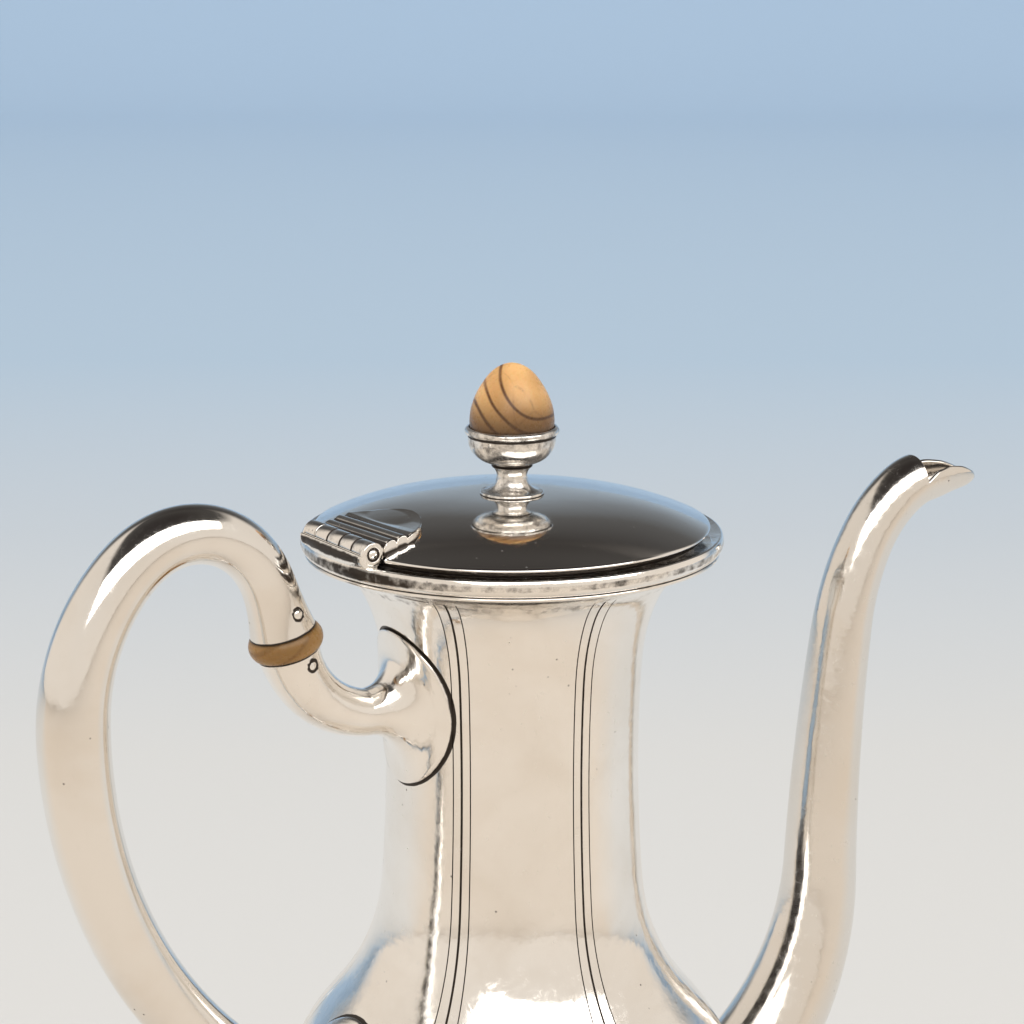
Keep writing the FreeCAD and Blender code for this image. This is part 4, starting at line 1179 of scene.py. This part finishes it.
SPOUT_START = (50.0, 46.0)
SPOUT_HEADING = 25.0
SPOUT_WIDTH = 27.0
SPOUT_STEP = 1.0
TROUGH_STEP = 0.8
SPOUT_LEGS = (
    (65.5, 63.5, 17.6),
    (500.0, -6.9, 14.3),
    (58.0, -21.6, 13.0),
    (30.5, -35.0, 12.6),
)
# Beyond the mouth the path runs through (x, z, width) stations to the tip of the lip.
SPOUT_TROUGH = (
    (120.0, 196.9, 11.4),
    (124.5, 196.9, 9.2),
    (128.5, 196.2, 7.0),
    (130.5, 195.6, 5.0),
    (131.5, 195.2, 2.6),
)
SPOUT_WALL = 0.9
SPOUT_FREE = 60.0
SPOUT_SUNK = 0.5
NOTCH_COLUMN = 17
ROOT_ROWS, TUBE_ROWS, HOOD_ROWS, LIP_ROWS = 46, 120, 7, 30
HOOD_REACH = 0.9
# Along the open lip, the angle from the top at which its side edges lie.
EDGE_SHARES = (0.0, 0.2, 0.4, 0.65, 0.85, 0.95, 1.0)
EDGE_ANGLES = (85.0, 67.0, 60.0, 60.0, 67.0, 80.0, 105.0)


class SpoutPath:
    """The spout's centre line as a smooth function of distance."""

    def __init__(self):
        tube, _ = walk(SPOUT_START, SPOUT_HEADING, SPOUT_WIDTH, SPOUT_LEGS, SPOUT_STEP)
        trough = spaced([tuple(tube[-1]), *SPOUT_TROUGH], TROUGH_STEP)[1:]
        stations = relax(np.vstack([tube, trough]), 12)
        steps = np.linalg.norm(np.diff(stations[:, :2], axis=0), axis=1)
        self.along = np.concatenate([[0], np.cumsum(steps)])
        self.stations = stations
        self.ways = frames_along(stations)
        self.mouth = self.along[len(tube) - 1]
        self.end = self.along[-1]

    def point(self, distance, angle):
        """A point of the outside at a distance along the path and an angle from its upper side."""
        x, z, width = (np.interp(distance, self.along, self.stations[:, axis]) for axis in range(3))
        way = [np.interp(distance, self.along, self.ways[:, axis]) for axis in range(2)]
        out = width / 2 * cos(angle)
        return (x - way[1] * out, width / 2 * sin(angle), z + way[0] * out)

    def leaves_body(self, angle):
        """Where the line at an angle comes out of the body's side."""
        def sunk(distance):
            return body_gap(*self.point(distance, angle)) <= -SPOUT_SUNK

        return boundary(sunk, 0.0, SPOUT_FREE)


def spout():
    """The tapering swan-neck tube, its hooded mouth and its open pouring lip."""
    path = SpoutPath()
    angles = [tau * column / TUBE_SEGMENTS for column in range(-NOTCH_COLUMN, TUBE_SEGMENTS)]
    upper, angles = angles[:2 * NOTCH_COLUMN + 1], angles[NOTCH_COLUMN:]
    starts = [path.leaves_body(angle) for angle in angles]
    tube = []
    for share in np.linspace(0, 1, ROOT_ROWS)[:-1]:
        tube.append([path.point(start + (SPOUT_FREE - start) * share, angle)
                     for start, angle in zip(starts, angles)])
    for distance in np.linspace(SPOUT_FREE, path.mouth, TUBE_ROWS):
        tube.append([path.point(distance, angle) for angle in angles])

    hood = []
    reaches = [HOOD_REACH * (1 - (abs(angle) / upper[-1]) ** 2.5) for angle in upper]
    for share in np.linspace(0, 1, HOOD_ROWS):
        hood.append([path.point(path.mouth + reach * share, angle) for reach, angle in zip(reaches, upper)])

    trough = []
    for share in np.linspace(0, 1, LIP_ROWS):
        distance = path.mouth + (path.end - path.mouth) * share
        edge = radians(np.interp(share, EDGE_SHARES, EDGE_ANGLES))
        sides = np.linspace(edge, tau - edge, TUBE_SEGMENTS - 2 * NOTCH_COLUMN + 1)
        trough.append([path.point(distance, angle) for angle in sides])

    shells = Shells()
    for rows in (tube, hood, trough):
        shells.grid(rows, lambda point: solder_shade(point, 0.9), capped=False, loop_columns=rows is tube)
    wall = shells.finish("spout", SPOUT_SILVER).modifiers.new("wall", "SOLIDIFY")
    wall.thickness = SPOUT_WALL * MM
    wall.offset = -1


# ---- assembly

body_shell()
lathe("rim_moulding", rim_outline(), BODY_SILVER, 200, rim_shade, closed=True, sharp=30)
lathe("foot_skirt", foot_outline(), BODY_SILVER, 144, joint_shade((7.5, 30.0), 1.2), closed=True)
lathe("foot_moulding", foot_ring_outline(), BODY_SILVER, 144, joint_shade((5.7, 3.8), 0.6),
      closed=True, sharp=30)
lid_dome()
lathe("lid_bezel", bezel_outline(), LID_SILVER, 144, lambda *place: BEZEL_SHADE, closed=True, body=LID)
rim_hinge_leaf()
lid_hinge_leaf()
hinge_pin()
lathe("finial_stem", stem_outline(), FINIAL_SILVER, 96,
      joint_shade((206.5, 213.1), 0.6, FINIAL_SHADE), body=LID)
lathe("finial_cup", cup_outline(), FINIAL_SILVER, 96,
      joint_shade((213.2, 219.98), 0.55, FINIAL_SHADE), body=LID)
lathe("finial_egg", egg_outline(), EGG_IVORY, 96, joint_shade((221.4,), 0.7), body=LID, slot=IVORY)
handle_tube()
for side, joint, socket, handle_width, socket_width in (
    ("upper", UPPER, UPPER_SOCKET, 13.4, 13.1),
    ("lower", LOWER, LOWER_SOCKET, 14.4, 13.3),
):
    joint.band(f"{side}_band", f"{side}_insulator")
    socket.build(f"{side}_socket")
    joint.pin(f"{side}_handle_pin", HANDLE_PIN_REACH, handle_width)
    joint.pin(f"{side}_socket_pin", -SOCKET_PIN_REACH, socket_width)
spout()
for hidden in ("finial_stud", "finial_washer", "finial_nut"):
    part = frame["nodes"][hidden]
    part.data.materials.clear()
    part.data.materials.append(FIXING_SILVER)


# ---- setting

VIEW_TURN = radians(-32.3)
VIEW_RISE = radians(13.3)
VIEW_DISTANCE = 777.8
VIEW_PITCH = radians(12.99)
LENS = 123.05
RIM_CENTRE = Vector((0.0, 0.0, 198.0))
LIGHT_AIM = Vector((0.0, 0.0, 0.12))
TOWARD_CAMERA = Vector((sin(VIEW_TURN), -cos(VIEW_TURN), 0.0))
ASIDE = Vector((-TOWARD_CAMERA.y, TOWARD_CAMERA.x, 0.0))


SWEEP_COLOURS = (
    (0.00, (0.71, 0.64, 0.56)),
    (0.22, (0.71, 0.64, 0.56)),
    (0.28, (0.66, 0.655, 0.64)),
    (0.37, (0.60, 0.605, 0.60)),
    (0.46, (0.48, 0.53, 0.58)),
    (0.57, (0.385, 0.49, 0.60)),
    (1.00, (0.36, 0.49, 0.65)),
)
SWEEP_START = 1.0
SWEEP_LENGTH = 3.0
SWEEP_CURVE = 0.5
SWEEP_FRONT = 2.5
SWEEP_TOP = 0.7
SWEEP_FLAT = 0.3
SWEEP_HALF = 3.5


def sweep():
    """A pale floor that rises in one curve into a low backdrop, greyer near and bluer far."""
    material, shader, place = new_material("sweep")
    away = shader.plus(shader.axis(place, "Y"), SWEEP_START)
    colour = shader.ramp(shader.math("DIVIDE", away, SWEEP_START + SWEEP_LENGTH), SWEEP_COLOURS)
    normal = shader.bump(shader.noise(place, 700.0, 3.0, 0.6), 0.00006)
    shader.surface({"Base Color": colour, "Roughness": 0.8, "Specular IOR Level": 0.1, "Normal": normal})
    curve = [(SWEEP_LENGTH - SWEEP_CURVE * (1 - sin(turn)), SWEEP_CURVE * (1 - cos(turn)))
             for turn in np.linspace(0, pi / 2, 24)]
    outline = [(-SWEEP_FRONT, 0.0), (SWEEP_FLAT, 0.0), *curve, (SWEEP_LENGTH, SWEEP_TOP)]
    points, faces = [], []
    for away, height in outline:
        points += [(side, float(away), float(height)) for side in (-SWEEP_HALF, SWEEP_HALF)]
    for number in range(len(outline) - 1):
        faces.append((2 * number, 2 * number + 1, 2 * number + 3, 2 * number + 2))
    mesh = bpy.data.meshes.new("sweep")
    mesh.from_pydata(points, [], faces)
    mesh.shade_smooth()
    floor = bpy.data.objects.new("sweep", mesh)
    floor.rotation_euler.z = VIEW_TURN
    link(floor)
    mesh.materials.append(material)
    floor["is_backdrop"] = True


def soft_light(name, turn, rise, distance, size, power, colour, glossy=True, diffuse=True):
    """A soft panel on a sphere round the pot, turned from the camera's side and raised, in degrees."""
    light = bpy.data.lights.new(name, "AREA")
    light.shape = "RECTANGLE"
    light.size, light.size_y = size
    light.energy = power
    light.color = colour
    panel = bpy.data.objects.new(name, light)
    turn, rise = radians(turn), radians(rise)
    flat = TOWARD_CAMERA * cos(turn) + ASIDE * sin(turn)
    panel.location = LIGHT_AIM + (flat * cos(rise) + Vector((0, 0, sin(rise)))) * distance
    panel.rotation_euler = (LIGHT_AIM - panel.location).to_track_quat("-Z", "Y").to_euler()
    panel.visible_glossy = glossy
    panel.visible_diffuse = diffuse
    link(panel)
    panel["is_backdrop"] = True


BEHIND_COLOURS = (
    (0.06, (0.42, 0.54, 0.67)),
    (0.16, (0.36, 0.43, 0.50)),
    (0.28, (0.20, 0.22, 0.24)),
    (0.43, (0.10, 0.098, 0.096)),
    (0.68, (0.05, 0.045, 0.042)),
    (0.85, (0.035, 0.03, 0.027)),
)
BEFORE_COLOURS = (
    (0.0, (0.84, 0.76, 0.67)),
    (0.60, (0.80, 0.73, 0.65)),
    (0.72, (0.08, 0.075, 0.07)),
    (1.0, (0.035, 0.03, 0.028)),
)


# The cream wall stands higher on the left, and gives way to the blue one behind.
LEFT_SIDE = (-0.3, -0.85)
LEFT_LIFT = 0.32
TURN_BEHIND = (-0.74, -0.5)


def world():
    """A studio round the pot: warm cream on the camera's side, dark overhead, pale blue behind."""
    room = bpy.data.worlds.new("studio")
    room.use_nodes = True
    bpy.context.scene.world = room
    shader = Shader(room.node_tree)
    way = shader.add("TexCoord", "Generated")
    facing = shader.vector("DOT_PRODUCT", way, TOWARD_CAMERA, output="Value")
    aside = shader.vector("DOT_PRODUCT", way, ASIDE, output="Value")
    sway = shader.times(shader.minus(shader.noise(way, 2.5, 2.0), 0.5), 0.06)
    climb = shader.plus(shader.axis(way, "Z"), sway)
    lower = shader.minus(climb, shader.span(aside, *LEFT_SIDE, 0.0, LEFT_LIFT))
    behind = shader.ramp(climb, BEHIND_COLOURS)
    before = shader.ramp(lower, BEFORE_COLOURS)
    colour = shader.blend(shader.span(facing, *TURN_BEHIND), behind, before)
    light = shader.add("Background", inputs={"Color": colour, "Strength": 1.0})
    shader.add("OutputWorld", inputs={"Surface": light})


def camera():
    """The camera: level, long lens, a little above the rim."""
    data = bpy.data.cameras.new("camera")
    data.lens = LENS
    data.sensor_width = 36
    view = bpy.data.objects.new("camera", data)
    back = TOWARD_CAMERA * cos(VIEW_RISE) + Vector((0, 0, sin(VIEW_RISE)))
    view.location = (RIM_CENTRE + back * VIEW_DISTANCE) * MM
    view.rotation_euler = (pi / 2 - VIEW_PITCH, 0.0, VIEW_TURN)
    link(view)
    bpy.context.scene.camera = view


sweep()
world()
soft_light("key", turn=26, rise=49, distance=1.3, size=(2.3, 0.78), power=15.0,
           colour=(1.0, 0.98, 0.95), diffuse=False)
soft_light("over", turn=180, rise=80, distance=3.0, size=(5.0, 5.0), power=150.0,
           colour=(1.0, 1.0, 1.0), glossy=False)
camera()
bpy.context.scene.view_settings.view_transform = "Standard"

VISUAL_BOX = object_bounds()
boxes = {"cad": CAD_BOX, "visual": VISUAL_BOX}
{name: [list(corner) for corner in box] for name, box in boxes.items()}
